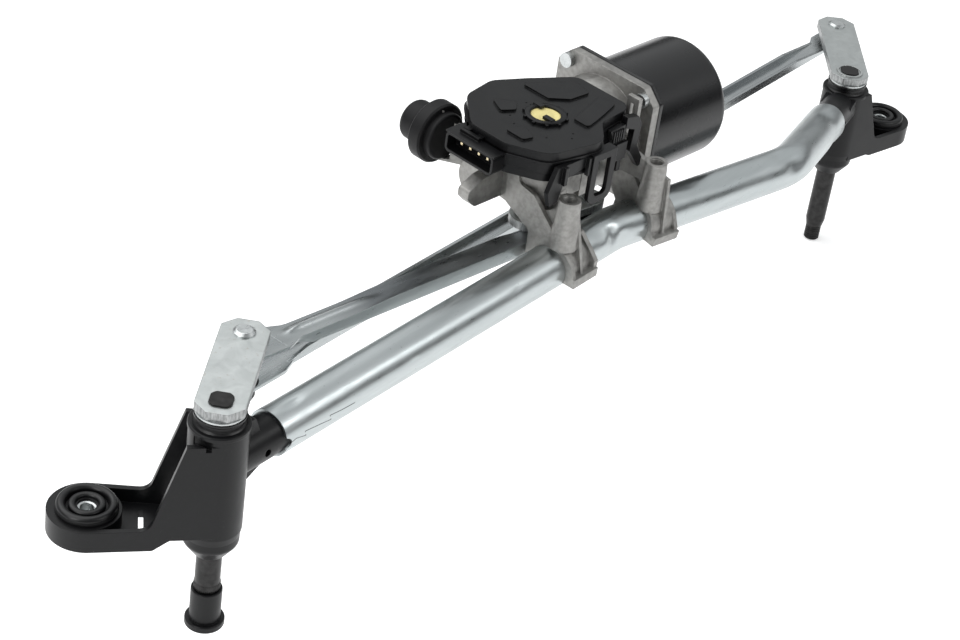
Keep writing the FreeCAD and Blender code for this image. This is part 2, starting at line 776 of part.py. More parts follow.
left_under = size("left_lever_top") - size("lever_thick")
right_under = size("right_lever_top") - size("lever_thick")
crank_under = size("crank_top") - size("crank_thick")
node("left_ball_stud", stud("left_stud", left_pin, [upper_ball.z, lower_ball.z], left_under,
                            rivet("left_rivet", left_pin, left_under, "lever_thick")))
node("right_ball_stud", stud("right_stud", right_pin, [right_ball.z],
                             right_under - size("slide_gap"), []))
node("right_lever_rivet", fuse("right_rivet_whole",
                               rivet("right_rivet", right_pin, right_under, "lever_thick")))
node("crank_ball_stud", stud("crank_stud", crank_pin, [crank_ball.z],
                             crank_under - size("slide_gap"), []))
node("crank_rivet", fuse("crank_rivet_whole",
                         rivet("crank_rivet_part", crank_pin, crank_under, "crank_thick")))


def socket(name, place, web_low, plug_r, open_below):
    """A moulded ball socket held in a link's eye; heights are measured from the ball."""
    radius = size("ball_d") / 2 + size("ball_play")
    outer = radius + size("socket_wall")
    web_top = web_low + size("sheet_thick")
    top = web_top + size("socket_rim")
    lip = plug_r + 1.2
    low = 1.2 - radius if open_below else -1.4 - radius
    profile = [(0, low), (outer - 2, low, 1.5), (outer, low + 4, 1.5), (outer, web_low),
               (plug_r, web_low), (plug_r, web_top), (lip, web_top), (lip - 0.5, top), (0, top)]
    if plug_r == outer:
        profile.remove((outer, web_low))
        profile.remove((plug_r, web_low))
    body = turned(name + "_body", place, profile)
    hollow = ball(name + "_hollow", place, "ball_d + 2 * ball_play")
    well = doc.addObject("Part::Cylinder", name + "_well")
    bind(well, Radius="neck_d / 2 + 1.4")
    well.Height = top - (low if open_below else 0)
    well.Placement = place * at(z=low if open_below else 0)
    return cut(name, body, hollow, well)


def link_frame(start, end):
    """Own X from ball to ball, own Z as near up as it can be."""
    along = (end - start).normalize()
    side = UP.cross(along).normalize()
    up = along.cross(side)
    return Placement(start, Rotation(along, side, up, "XZY")), (end - start).Length


def link(name, start, end, near, far, flange, near_width, far_width, downward):
    """A pressed channel with an eye and a ball socket at each end.

    near and far are (ball centre, plug radius, open below) for the two sockets.
    """
    place, length = link_frame(start, end)
    thick, half = size("sheet_thick"), size("channel_width") / 2
    first, last = near_width / 2, far_width / 2
    outline = rounded([(-first, -first, first - 0.1), (24, -first, 6), (34, -half, 6),
                       (length - 24, -half, 6), (length - 16, -last, 6), (length + last, -last, last - 0.1),
                       (length + last, last, last - 0.1), (length - 16, last, 6), (length - 24, half, 6),
                       (34, half, 6), (24, first, 6), (-first, first, first - 0.1)])
    sockets, holes = [], []
    for end_name, (centre, plug_r, open_below) in (("near", near), ("far", far)):
        local = place.inverse().multVec(centre)
        holes.append((local.x, local.y, str(2 * plug_r)))
        seat = Placement(centre, place.Rotation)
        sockets.append((end_name, socket(f"{name}_{end_name}_socket", seat, -local.z, plug_r,
                                         open_below)))
    web = plate(name + "_web", place, outline, "sheet_thick", holes)
    edge = thick if not downward else 0
    tip = thick - flange if downward else flange
    tail = 30 if downward else 66
    side_outline = rounded([(30, edge), (46, tip, 8), (length - tail, tip, 8), (length - 24, edge)])
    flanges = [upright(f"{name}_flange_{index}", place * at(y=offset), side_outline, "sheet_thick")
               for index, offset in enumerate((thick / 2 - half, half - thick / 2))]
    node(name, fuse(name + "_pressing", [web, *flanges]))
    for end_name, item in sockets:
        node(f"{name}_{end_name}_socket", item)


socket_r = size("ball_d") / 2 + size("ball_play") + size("socket_wall")
crank_plug_r = size("crank_eye_width") / 2 - 2.6
link("drive_link", upper_ball, crank_ball + UP * size("crank_web_rise"),
     (upper_ball, socket_r, True), (crank_ball, crank_plug_r, False),
     size("drive_flange"), size("eye_width"), size("crank_eye_width"), True)
transfer_rise = UP * size("transfer_web_rise")
link("transfer_link", lower_ball + transfer_rise, right_ball + transfer_rise,
     (lower_ball, socket_r, False), (right_ball, socket_r, False),
     size("transfer_flange"), size("eye_width"), size("eye_width"), False)

crank_place = Placement(gear_axis + UP * crank_under, Rotation(UP, size("crank_turn")))
node("crank_arm", plate("crank_arm_plate", crank_place,
                        strap(size("crank_hub_r"), size("crank_eye_r"), size("crank_radius")),
                        "crank_thick",
                        [(0, 0, "output_shaft_d"), (size("crank_radius"), 0, "rivet_d")]))

# The gear motor's own frame: U along the motor, V across it, from the output axis.
motor = Placement(gear_axis, Rotation(UP, size("motor_turn")))
worm_z = size("chamber_bottom") + size("worm_rise")
can_r = size("can_d") / 2


def along_u(u, v, z):
    """A placement whose own +Z runs along U."""
    return motor * Placement(Vector(u, v, z), Rotation(Vector(0, 1, 0), 90))


def cover_outline(inset):
    """The cover's outline seen from above, drawn in by the inset."""
    shrink = 1 - inset / 40
    points = [(-41, -8, 14), (-29, -31, 14), (7, -38, 12), (22, -23, 8), (50, -20, 8), (50, 21, 8),
              (24, 36, 12), (4, 46, 12), (-20, 42, 14), (-41, 18, 14)]
    return rounded([(x * shrink, y * shrink, radius * shrink) for x, y, radius in points])


def clipped(half_x, half_y, clip):
    """A rectangle with its corners cut off."""
    return rounded([(-half_x + clip, -half_y, 3), (half_x - clip, -half_y, 3), (half_x, -half_y + clip, 3),
                    (half_x, half_y - clip, 3), (half_x - clip, half_y, 3), (-half_x + clip, half_y, 3),
                    (-half_x, half_y - clip, 3), (-half_x, -half_y + clip, 3)])


def output_train():
    """The output shaft with its worm wheel, and the bush it turns in."""
    wheel_low = worm_z - size("wheel_thick") / 2
    shaft_top = wheel_low + size("wheel_thick") + 3
    middle = motor * at(z=crank_under)
    shaft = doc.addObject("Part::Cylinder", "output_bar")
    bind(shaft, Radius="output_shaft_d / 2")
    shaft.Height = shaft_top - crank_under
    shaft.Placement = middle
    node("output_shaft", shaft)
    teeth = int(size("wheel_teeth"))
    tip_r, root_r = size("wheel_d") / 2, size("wheel_d") / 2 - size("tooth_depth")
    points = []
    for tooth in range(teeth):
        for share, radius in ((0.0, root_r), (0.3, root_r), (0.5, tip_r), (0.8, tip_r)):
            spot = polar(radius, 360 * (tooth + share) / teeth)
            points.append((spot.x, spot.y))
    wheel = plate("wheel_blank", motor * at(z=wheel_low), rounded(points), "wheel_thick",
                  [(0, 0, "output_shaft_d")])
    node("worm_wheel", wheel)
    bush_place = motor * at(z=size("output_boss_bottom"))
    outer = cylinder("output_bush_outer", bush_place, "output_shaft_d + 2 * output_bush_wall",
                     "chamber_bottom + chamber_wall - output_boss_bottom")
    inner = cylinder("output_bush_inner", bush_place, "output_shaft_d + 2 * running_play",
                     "chamber_bottom + chamber_wall - output_boss_bottom")
    node("output_bush", cut("output_bush_ring", outer, inner))


output_train()


def on_tube(x):
    """The tube's centre and direction at a distance along the part."""
    if x < bend_one.x:
        return left_root + left_run * ((x - left_root.x) / left_run.x), left_run
    middle_run = (bend_two - bend_one).normalize()
    return bend_one + middle_run * ((x - bend_one.x) / middle_run.x), middle_run


def saddle(index, x, cheeks):
    """A cast half shell on the tube, stiffened by a cheek at each end and a fin between them.

    The cheeks' points are (across the tube, above its axis).
    """
    centre, run = on_tube(x)
    place = at(centre.x, centre.y, centre.z, run)
    outer, foot = size("tube_d") / 2 + size("clamp_wall"), size("clamp_foot")
    side = math.sqrt(outer ** 2 - foot ** 2)
    arc = Part.Arc(Vector(foot, -side, 0), Vector(-outer, 0, 0), Vector(foot, side, 0))
    chord = Part.LineSegment(Vector(foot, side, 0), Vector(foot, -side, 0))
    shell = plate(f"saddle_{index}_shell", place, [arc, chord], "clamp_length")
    bar = plate(f"saddle_{index}_foot", place, rounded([
        (foot, -outer - 4), (foot, -outer + 2), (-1, -outer + 2), (-1, -outer - 4)]), "clamp_length")
    pieces = [shell, bar]
    spots = ((0, "cheek_thick"), (size("fin_back"), "fin_thick"),
             (size("clamp_length") - size("cheek_thick"), "cheek_thick"))
    for number, ((back, thick), outline) in enumerate(zip(spots, cheeks)):
        drawn = [(-point[1], point[0], *point[2:]) for point in reversed(outline)]
        pieces.append(plate(f"saddle_{index}_cheek_{number}", place * at(z=back), rounded(drawn), thick))
    return pieces


def saddles():
    """The two saddles with the cheeks that carry them on the casting."""
    foot, outer = -size("clamp_foot"), size("tube_d") / 2 + size("clamp_wall")
    seat = size("seat_top") - size("seat_thick") - bend_one.z + 3
    first = [
        [(-outer - 3, foot), (-outer - 2.5, 1), (-outer, 8), (-3, 19.5), (17, 38.5, 4), (28, 41, 4),
         (33, seat), (38, seat), (36, 26, 4), (outer + 1, 16, 3), (outer, foot)],
        [(-outer - 3, foot), (-13, 17), (-7.5, 36), (3, 36), (9, 12), (outer, foot)],
        [(-outer - 3, foot), (-outer - 3, 5.5), (-13.7, 11, 3), (-5.8, 18.5), (8, 22, 4), (14, 29), (30, 29),
         (28, 24, 3), (outer + 1, 16, 3), (outer, foot)]]
    second = [
        [(-outer - 3, foot), (-outer - 1, 1.5), (-12.4, 7), (-1.8, 17, 4), (8.6, 25.7), (14.5, 33.6),
         (30, 40), (30, 18, 5), (outer, 5), (outer, foot)],
        [(-outer - 3, foot), (-12.2, 18.7), (-8.1, 33), (2, 33), (9, 12), (outer, foot)],
        [(-outer - 3, foot), (-outer - 2, 2.2), (-12.8, 9.7, 3), (-6.7, 14), (5, 16, 3), (8, foot)]]
    return saddle(1, size("clamp_one_x"), first) + saddle(2, size("clamp_two_x"), second)


def wall_between(name, start, end, outline_heights, thick):
    """An upright cast wall from one point to another; the heights are (share, low, high)."""
    length = (end - start).Length
    heading = math.degrees(math.atan2(end.y - start.y, end.x - start.x))
    place = Placement(Vector(start.x, start.y, 0), Rotation(UP, heading))
    low = [(share * length, bottom) for share, bottom, _ in outline_heights]
    high = [(share * length, top) for share, _, top in reversed(outline_heights)]
    return upright(name, place, rounded(low + high), thick)


screw_spots = [(side_z * (can_r - 6), side_v * (can_r - 7.5)) for side_z in (-1, 1) for side_v in (-1, 1)]


def flange_plate(name, u, thick, hole):
    """One of the stacked flanges between gear housing and motor."""
    half = can_r + size("flange_margin")
    return plate(name, along_u(u, size("worm_offset"), worm_z + size("flange_lift")),
                 clipped(half + size("flange_margin"), half, size("flange_clip")), thick,
                 [(size("flange_lift"), 0, hole)] + [(x, y, "screw_d") for x, y in screw_spots])


def boss(name, side):
    """A cast boss that flares towards its foot, and its blind bore."""
    spot = Vector(size(f"boss_{side}_x"), size(f"boss_{side}_y"), size(f"boss_{side}_top"))
    solid = cone(name, at(spot.x, spot.y, spot.z - size("boss_height")), "boss_d + boss_flare", "boss_d",
                 "boss_height")
    bore = cylinder(name + "_bore", at(spot.x, spot.y, spot.z - size("boss_bore_depth")), "boss_bore_d",
                    "boss_bore_depth")
    return Vector(spot.x, spot.y, 0), solid, bore


def cast_webs(first, second, third):
    """The walls that tie the bosses and the third mount's lug to the chamber."""
    low, seat = size("chamber_bottom"), size("seat_top")
    lug_half = size("third_plate") / 2
    lug_r = size("third_head_d") / 2 + size("third_lug_rim")
    upper = size("boss_two_top") - 2
    return [
        wall_between("wall_one", first, motor.multVec(Vector(0, -4, 0)),
                     [(0.1, low - 8, size("boss_one_top") - 6), (0.6, low + 1, seat - 3),
                      (1, low + 1, seat - 3)],
                     "cast_web"),
        wall_between("wall_two", second, motor.multVec(Vector(48, 12, 0)),
                     [(0.1, low, upper), (0.5, low + 3, upper + 10), (1, low + 3, upper + 10)], "cast_web"),
        wall_between("wall_three", motor.multVec(Vector(-10, 10, 0)),
                     motor.multVec(Vector(third.x, third.y - lug_half, 0)),
                     [(0, low + 8, seat - 2), (0.78, low + 8, seat - 2),
                      (1, third.z - lug_r + 1, third.z + lug_r - 1)], "cast_web")]


def foot_lug():
    """The lug that reaches out under the connector."""
    low, v = size("chamber_bottom"), size("connector_v")
    outline = [(-18, low + 1), (-44, low + 1, 4), (-50, low + 7, 3), (-50, low + 12, 3), (-40, low + 17, 4),
               (-18, low + 20)]
    return upright("foot_lug", motor * at(0, v, 0), rounded(outline), "2 * cast_web")


def slotted_post():
    """The upright post beside the cover with its long slot."""
    place = motor * at(size("post_u"), size("post_v"), size("post_bottom"))
    post = block("post", place, "post_thick", "post_width", "post_top - post_bottom")
    slot = block("post_slot_tool", place * at(z=10), "post_thick + 2", "post_slot",
                 "post_top - post_bottom - 14")
    return cut("post_cut", post, slot)


def gear_housing():
    """The casting: worm chamber, output boss, motor flange, tube saddles and mounting bosses."""
    v, low = size("worm_offset"), size("chamber_bottom")
    flange_u = size("flange_u") - size("flange_thick")
    third = Vector(size("third_u"), size("third_v"), size("third_z"))
    first, boss_one, bore_one = boss("boss_one", "one")
    second, boss_two, bore_two = boss("boss_two", "two")
    lug_place = motor * Placement(third + Vector(0, size("third_plate") / 2, 0),
                                  Rotation(Vector(1, 0, 0), 90))
    dome_r, dome_length = can_r - size("dome_margin"), size("dome_length")
    dome = turned("dome", along_u(flange_u - dome_length, v, worm_z), [
        (0, 0), (size("worm_tube_d") / 2, 0), (dome_r * 0.8, dome_length * 0.2, 10),
        (dome_r, dome_length * 0.65, 20), (dome_r, dome_length), (0, dome_length)])
    crank_sweep = cylinder("crank_sweep", motor * at(z=crank_under - size("sweep_gap")),
                           "2 * (crank_radius + crank_eye_r + sweep_gap)",
                           "output_boss_bottom - crank_top + crank_thick + sweep_gap")
    solids = [
        cylinder("chamber", motor * at(z=low), "chamber_d", "seat_top - chamber_bottom"),
        plate("cover_seat", motor * at(z=size("seat_top") - size("seat_thick")), cover_outline(1.5),
              "seat_thick"),
        cylinder("output_boss", motor * at(z=size("output_boss_bottom")), "output_boss_d",
                 "chamber_bottom - output_boss_bottom"),
        cylinder("worm_tube", along_u(-30, v, worm_z), "worm_tube_d", "flange_u + 25"),
        cut("dome_over_crank", dome, crank_sweep),
        flange_plate("motor_flange", flange_u, "flange_thick", "worm_bore_d"),
        boss_one, boss_two, *saddles(), *cast_webs(first, second, third), foot_lug(), slotted_post(),
        cylinder("third_lug", lug_place, "third_head_d + 2 * third_lug_rim", "third_plate"),
    ]
    tools = [
        tube_outside, bore_one, bore_two,
        cylinder("chamber_hollow", motor * at(z=low + size("chamber_wall")),
                 "chamber_d - 2 * chamber_wall", "seat_top - chamber_bottom"),
        cylinder("boss_hole", motor * at(z=size("output_boss_bottom") - 1),
                 "output_shaft_d + 2 * output_bush_wall", "chamber_bottom"
                 " + chamber_wall - output_boss_bottom + 1"),
        cylinder("worm_bore", along_u(-24, v, worm_z), "worm_bore_d", "flange_u + 30"),
        cylinder("lug_hole", lug_place, "third_hole_d", "third_plate"),
        cylinder("lug_relief", lug_place * at(z=size("third_plate")), "third_head_d + 2 * third_rim + 1",
                 "third_flange + 2"),
    ]
    return cut("gear_housing_cut", fuse("gear_housing_solid", solids), *tools)


node("gear_housing", gear_housing())


def third_mount():
    """The rubber push-in mount: a flange on each face of its lug and a rounded head."""
    head_r, half = size("third_head_d") / 2, size("third_plate") / 2
    waist, rim_r, flange = size("third_hole_d") / 2, head_r + size("third_rim"), size("third_flange")
    place = motor * Placement(Vector(size("third_u"), size("third_v"), size("third_z")),
                              Rotation(Vector(1, 0, 0), -90))
    return turned("third_rubber", place, [
        (0, -half - flange), (rim_r, -half - flange, 1.5), (rim_r, -half), (waist, -half), (waist, half),
        (rim_r, half), (rim_r, half + 3, 1), (head_r, half + 5), (head_r, half + 15, 4), (0, half + 18)])


node("third_mount_rubber", third_mount())


def armature():
    """Shaft with its worm, laminated core and commutator, with the bushes that carry it."""
    v, z = size("worm_offset"), worm_z
    can_end = size("flange_u") + size("gasket_thick") + size("can_length")
    bar = cylinder("armature_bar", along_u(-22, v, z), "worm_shaft_d",
                   "flange_u + gasket_thick + can_length + 24")
    worm = cylinder("worm_thread", along_u(-size("worm_length") / 2, v, z), "worm_d", "worm_length")
    node("worm_shaft", fuse("worm_shaft_whole", [bar, worm]))
    core_length = "can_length - commutator_length - commutator_gap - core_front - core_back"
    core_u = can_end - item_value(core_length) - size("core_back")
    core = cylinder("core_outer", along_u(core_u, v, z),
                    "can_d - 2 * can_wall - 2 * magnet_thick - 2 * air_gap", core_length)
    core_hole = cylinder("core_hole", along_u(core_u, v, z), "worm_shaft_d", core_length)
    node("armature_core", cut("core", core, core_hole))
    comm_u = core_u - size("commutator_length") - size("commutator_gap")
    comm = cylinder("commutator_outer", along_u(comm_u, v, z), "commutator_d", "commutator_length")
    comm_hole = cylinder("commutator_hole", along_u(comm_u, v, z), "worm_shaft_d", "commutator_length")
    node("commutator", cut("commutator_ring", comm, comm_hole))
    bushes = []
    for index, u in enumerate((-24, size("flange_u") - 8, can_end - size("rotor_bush_length") / 2)):
        outer = cylinder(f"bush_{index}_outer", along_u(u, v, z), "worm_bore_d", "rotor_bush_length")
        inner = cylinder(f"bush_{index}_inner", along_u(u, v, z),
                         "worm_shaft_d + 2 * running_play", "rotor_bush_length")
        bushes.append(cut(f"armature_bush_{index}", outer, inner))
    node("armature_bushes", group("armature_bush_group", bushes))
    holder_u = comm_u + 3
    holder = cylinder("holder_outer", along_u(holder_u, v, z), "can_d - 2 * can_wall", "brush_width")
    holder_hole = cylinder("holder_hole", along_u(holder_u, v, z), "commutator_d + 2 * holder_play",
                           "brush_width")
    slots, brushes = [], []
    reach = size("commutator_d") / 2 + size("slide_gap") + size("brush_length") / 2
    for index, side in enumerate((-1, 1)):
        spot = motor * at(holder_u + size("brush_width") / 2, v + side * reach,
                          z - size("brush_height") / 2)
        brushes.append(block(f"brush_{index}", spot, "brush_width", "brush_length", "brush_height"))
        slots.append(block(f"brush_slot_{index}", spot, "brush_width", "brush_length", "brush_height"))
    node("brush_holder", cut("holder", holder, holder_hole, *slots))
    node("carbon_brushes", group("brush_pair", brushes))


armature()


def motor_case():
    """The drawn steel can with its flange, its magnets, the gasket and the screws."""
    v, z = size("worm_offset"), worm_z
    gasket_u = size("flange_u")
    flange_u = gasket_u + size("gasket_thick")
    length, inside, nose = size("can_length"), can_r - size("can_wall"), size("can_nose")
    nose_end = length + size("can_nose_height")
    node("motor_gasket", flange_plate("gasket", gasket_u, "gasket_thick",
                                      "can_d - 2 * gasket_land"))
    flange = flange_plate("can_flange", flange_u, "can_flange_thick", "can_d - 2 * can_wall")
    shell = turned("can_outer", along_u(flange_u, v, z), [
        (0, 0), (can_r, 0), (can_r, length, size("can_corner_r")), (nose, length, 2), (nose, nose_end, 2),
        (0, nose_end)])
    hollow = turned("can_hollow", along_u(flange_u, v, z), [
        (0, -1), (inside, -1), (inside, length - size("can_wall"), size("can_corner_r") - size("can_wall")),
        (0, length - size("can_wall"))])
    seat = cylinder("can_seat", along_u(flange_u + length - size("rotor_bush_length") / 2, v, z),
                    "worm_bore_d", "rotor_bush_length")
    node("motor_can", cut("can", fuse("can_solid", [flange, shell]), hollow, seat))
    magnet_length = "can_length - magnet_front - magnet_back"
    magnet_u = flange_u + size("magnet_front")
    ring = cylinder("magnet_outer", along_u(magnet_u, v, z), "can_d - 2 * can_wall", magnet_length)
    bore = cylinder("magnet_bore", along_u(magnet_u, v, z),
                    "can_d - 2 * can_wall - 2 * magnet_thick", magnet_length)
    gap = block("magnet_gap", along_u(magnet_u, v, z), "can_d", "can_d * 0.3", magnet_length)
    node("motor_magnets", cut("magnets", ring, bore, gap))
    screws = []
    stack = "flange_thick + gasket_thick + can_flange_thick"
    for index, (x, y) in enumerate(screw_spots):
        place = along_u(size("flange_u") - size("flange_thick"), v, z + size("flange_lift")) * at(x, y)
        shank = cylinder(f"screw_{index}_shank", place, "screw_d", stack)
        head = cylinder(f"screw_{index}_head", place * at(z=-size("screw_head_height")),
                        "screw_head_d", "screw_head_height")
        screws.append(fuse(f"screw_{index}", [shank, head]))
    node("flange_screws", group("screw_group", screws))


motor_case()


def rounded_bar(name, place, half_x, half_y, radius, length):
    """A bar with rounded corners, along own +Z."""
    return plate(name, place, rounded([(-half_x, -half_y, radius), (half_x, -half_y, radius),
                                       (half_x, half_y, radius), (-half_x, half_y, radius)]), length)


def cover_pads():
    """The four low pads on the cover's top."""
    corners = [[(-12, 30), (-18, 17.5), (-10, 13), (-3, 19)],
               [(15, 33), (15, 12), (25, 4), (40, 3), (43, 17)],
               [(10, -12), (10, -23), (19, -21), (30, -18), (43, -14), (42, -3)],
               [(-31, 2), (-31, -12), (-24, -14), (-20, -2)]]
    top = size("cover_top")
    return [plate(f"pad_{index}", motor * at(z=top - 1), rounded([(u, v, 2) for u, v in spots]),
                  "pad_height + 1") for index, spots in enumerate(corners)]


def hanging_loop():
    """The open loop that hangs from the cover's front edge, on its tab."""
    half, height, band = size("loop_width") / 2, size("loop_height"), size("loop_band")
    u, v, top = size("loop_u"), size("loop_v"), size("cover_top") - size("loop_drop")
    outline = rounded([(-half, -height, 6), (half, -height, 6), (half, 0), (-half, 0)])
    slot = rounded([(band - half, band - height, 3), (half - band, band - height, 3), (half - band, -band),
                    (band - half, -band)])
    place = motor * at(u, v, top)
    loop = cut("loop", upright("loop_outline", place, outline, "loop_thick"),
               upright("loop_slot", place, slot, "loop_thick + 2"))
    tab = block("loop_tab", motor * at(u, v + size("tab_inset"), top - size("tab_thick")), "loop_width",
                "tab_width", "tab_thick")
    return [loop, tab]


def connector(mouth):
    """The shroud round the plug's space, its bridge to the cover, and what is cut out of it."""
    v, middle, wall = size("connector_v"), size("connector_mid_z"), size("shroud_wall")
    half, half_width = size("connector_height") / 2, size("connector_width") / 2
    back, root = size("connector_back"), size("connector_root")
    shroud = rounded_bar("shroud", along_u(mouth, v, middle), half, half_width,
                         size("shroud_corner_r"), "connector_back - connector_u")
    bridge = block("bridge", motor * at((back + root) / 2, v, size("seat_top")),
                   "connector_root - connector_back", "connector_width",
                   "connector_mid_z + connector_height / 2 - seat_top")
    cavity = rounded_bar("cavity", along_u(mouth - 1, v, middle), half - wall, half_width - wall,
                         size("shroud_corner_r") - wall, "connector_back - connector_u - 0.5")
    return shroud, bridge, cavity


def pin_row(mouth):
    """The connector's four blades."""
    pins, count = [], 4
    centre_u = mouth + size("pin_set_back") + size("pin_length") / 2
    for index in range(count):
        spot = size("connector_v") + (index - (count - 1) / 2) * size("pin_pitch")
        pins.append(block(f"pin_{index}", motor * at(centre_u, spot, size("connector_mid_z")
                                                     - size("pin_size") / 2),
                          "pin_length", "pin_size", "pin_size"))
    return pins


def cover():
    """The moulded cover with its skirt and connector, its disc, pins and circuit board."""
    low, top, wall = size("seat_top"), size("cover_top"), size("cover_wall")
    outer = plate("cover_outer", motor * at(z=low), cover_outline(0), "cover_top - seat_top")
    inner = plate("cover_inner", motor * at(z=low), cover_outline(wall), "cover_top - cover_wall"
                  " - seat_top")
    mouth = size("connector_u")
    shroud, bridge, cavity = connector(mouth)
    ring = cylinder("collar_ring", motor * at(z=top - 1), "collar_ring_d", "collar_ring_height + 1")
    well = cylinder("collar_well", motor * at(z=top), "collar_ring_d - 4", "collar_ring_height + 1")
    pocket = cylinder("disc_pocket", motor * at(z=top - size("disc_thick") / 2), "disc_d",
                      "disc_thick")
    pins = pin_row(mouth)
    solid = fuse("cover_solid", [cut("cover_shell", outer, inner), cut("collar", ring, well), shroud, bridge,
                                 *cover_pads(), *hanging_loop()])
    node("gear_cover", cut("cover_cut", solid, cavity, pocket, *pins))
    node("connector_pins", group("pin_group", pins))
    disc = cylinder("vent_disc", motor * at(z=top - size("disc_thick") / 2), "disc_d", "disc_thick")
    node("cover_vent_disc", disc)
    board = plate("board", motor * at(z=size("board_height")), cover_outline(size("board_margin")),
                  "board_thick")
    node("circuit_board", board)


cover()

doc.recompute()
faults = [item.Name for item in doc.Objects if "Invalid" in item.State or "Error" in item.State]
if faults:
    raise SystemExit("failed objects: " + ", ".join(faults))
os.makedirs("parts", exist_ok=True)
for item in nodes:
    shape = item.Shape
    if shape.isNull() or not shape.isValid() or not shape.Solids:
        raise SystemExit(f"{item.Label} has no valid shape")
for item in nodes:
    item.Shape.exportStep(f"parts/{item.Label}.step")
    print(f"{item.Label}: {len(item.Shape.Solids)} solids, {item.Shape.Volume:.1f} mm3")
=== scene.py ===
"""Looks of the wiper linkage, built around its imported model.

Blender's lengths are in metres, in the model's own frame. Pieces are drawn in millimetres and
scaled once, in Maker.piece.
"""
import math

import bmesh
import bpy
from mathutils import Matrix, Vector


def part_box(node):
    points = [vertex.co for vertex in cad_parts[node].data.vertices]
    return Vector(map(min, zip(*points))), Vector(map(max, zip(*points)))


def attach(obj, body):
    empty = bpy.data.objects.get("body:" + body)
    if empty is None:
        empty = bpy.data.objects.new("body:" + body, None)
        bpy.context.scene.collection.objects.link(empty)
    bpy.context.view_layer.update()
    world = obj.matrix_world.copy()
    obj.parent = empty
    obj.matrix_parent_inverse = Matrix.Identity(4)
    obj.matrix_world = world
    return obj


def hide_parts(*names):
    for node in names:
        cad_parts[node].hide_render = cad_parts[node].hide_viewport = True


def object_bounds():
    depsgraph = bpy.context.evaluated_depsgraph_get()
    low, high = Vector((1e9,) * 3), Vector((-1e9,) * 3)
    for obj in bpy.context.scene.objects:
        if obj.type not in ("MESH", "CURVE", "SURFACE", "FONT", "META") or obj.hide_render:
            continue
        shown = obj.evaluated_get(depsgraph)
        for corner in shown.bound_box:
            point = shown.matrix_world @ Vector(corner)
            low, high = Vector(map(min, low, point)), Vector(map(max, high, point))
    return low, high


MM = 0.001

# The photograph's viewpoint
CAMERA_PLACE = Vector((-0.713688, -0.585954, 0.779672))
CAMERA_AZIMUTH = math.radians(-57.8)
CAMERA_ELEVATION = math.radians(33.6)
CAMERA_ROLL = math.radians(8.5)
CAMERA_LENS, CAMERA_SENSOR = 90.0, 36.0
CAMERA_NEAR, CAMERA_FAR = 0.05, 60.0

# How much the pale floor lights itself up, so that it stays near white
FLOOR_GLOW = 0.42
FLOOR_REACH = 30.0
# The gap between the part and the floor below it
FLOOR_DROP = 0.5 * MM

# Edges sharper than this stay sharp in the added pieces
SMOOTH_ANGLE = math.radians(38)

# Places in the model's own millimetres
GEAR_AXIS = (286.0, 21.0)
MOTOR_TURN = math.radians(-7.4)
RIGHT_AXIS_X = 630.0
TUBE_ROUTE = ((0, 0, 66), (322, -12.9, 70.6), (485, -38, 59.5), (630, 0, 34))
TUBE_GAPS = (36.5, 50.0)
TUBE_R, TUBE_WALL, TUBE_BEND_R = 12.7, 1.5, 70.0
COVER_TOP, SEAT_TOP = 143.0, 130.0
COVER_OUTLINE = ((-41, -8, 14), (-29, -31, 14), (7, -38, 12), (22, -23, 8), (50, -20, 8), (50, 21, 8),
                 (24, 36, 12), (4, 46, 12), (-20, 42, 14), (-41, 18, 14))
COVER_HALF = 40.0
COVER_DIMPLES = ((24, 28), (28, 18), (24, 12.7), (2.3, 16.8), (-16, 12), (-21, 4.2), (36, 9.5), (28.6, 2.9),
                 (-20, -3), (-24.6, -7.3), (-1.2, -22), (-5.8, -25.3), (-17, -16.6), (34.6, -14.5))
CONNECTOR_TOP = 137.0
CATCH_OUTLINE = ((-50.2, -9.8), (-38.5, -9.8), (-32, -7.5), (-32, 25.5), (-38, 27.2), (-50.2, 27.2))

# Forms that hang below the cover's front: their outlines along the motor and up from the seat, and
# how far across the motor each stands
APRON_OUTLINE = ((-27, 6), (8, 6), (8, -3), (-1, -4), (-2, 0), (-20, -3), (-24, -16), (-30, -17), (-33, -8))
LOUVRE_OUTLINE = ((27, 7), (39, 8), (40, -2), (31, -3))
CLIP_OUTLINE = ((40, 12), (50, 10), (54, 4), (53, -10), (62, -24), (57, -25), (47, -12), (48, 2), (40, 5))
APRON_PLACE, LOUVRE_PLACE, CLIP_PLACE, BLOCK_PLACE = -33.5, -23.5, -22.5, -27.5

MOUNTS = {"left": (-42.0, 44.0), "right": (RIGHT_AXIS_X + 51, -8.0)}
GROMMET_RIBS = ((12.9, 4.6, 2.0), (7.4, 3.6, 1.2))
BOSSES = {"one": (265.9, -15.3, 114.0), "two": (344.5, -21.6, 110.0)}
THIRD_MOUNT = (-33.0, 50.0, 120.0)

# The drive link runs from the left lever's pin to the crank's pin: reach and turn of each, and height
LEVER_PIN = (59.0, math.radians(31), 90.8)
CRANK_PIN = (43.5, math.radians(-16.3), 67.0)
LINK_SHEET = 2.0

# Shafts: heights and radius of the left one's splines, and radius, foot, pitch and turns of the thread
SPLINES = (-11.2, -6.8, 6.5)
SPLINE_COUNT, SPLINE_DEPTH = 40, 0.35
THREAD_R, THREAD_FOOT, THREAD_PITCH, THREAD_TURNS, THREAD_DEPTH = 4.85, -72.4, 1.5, 7, 0.45

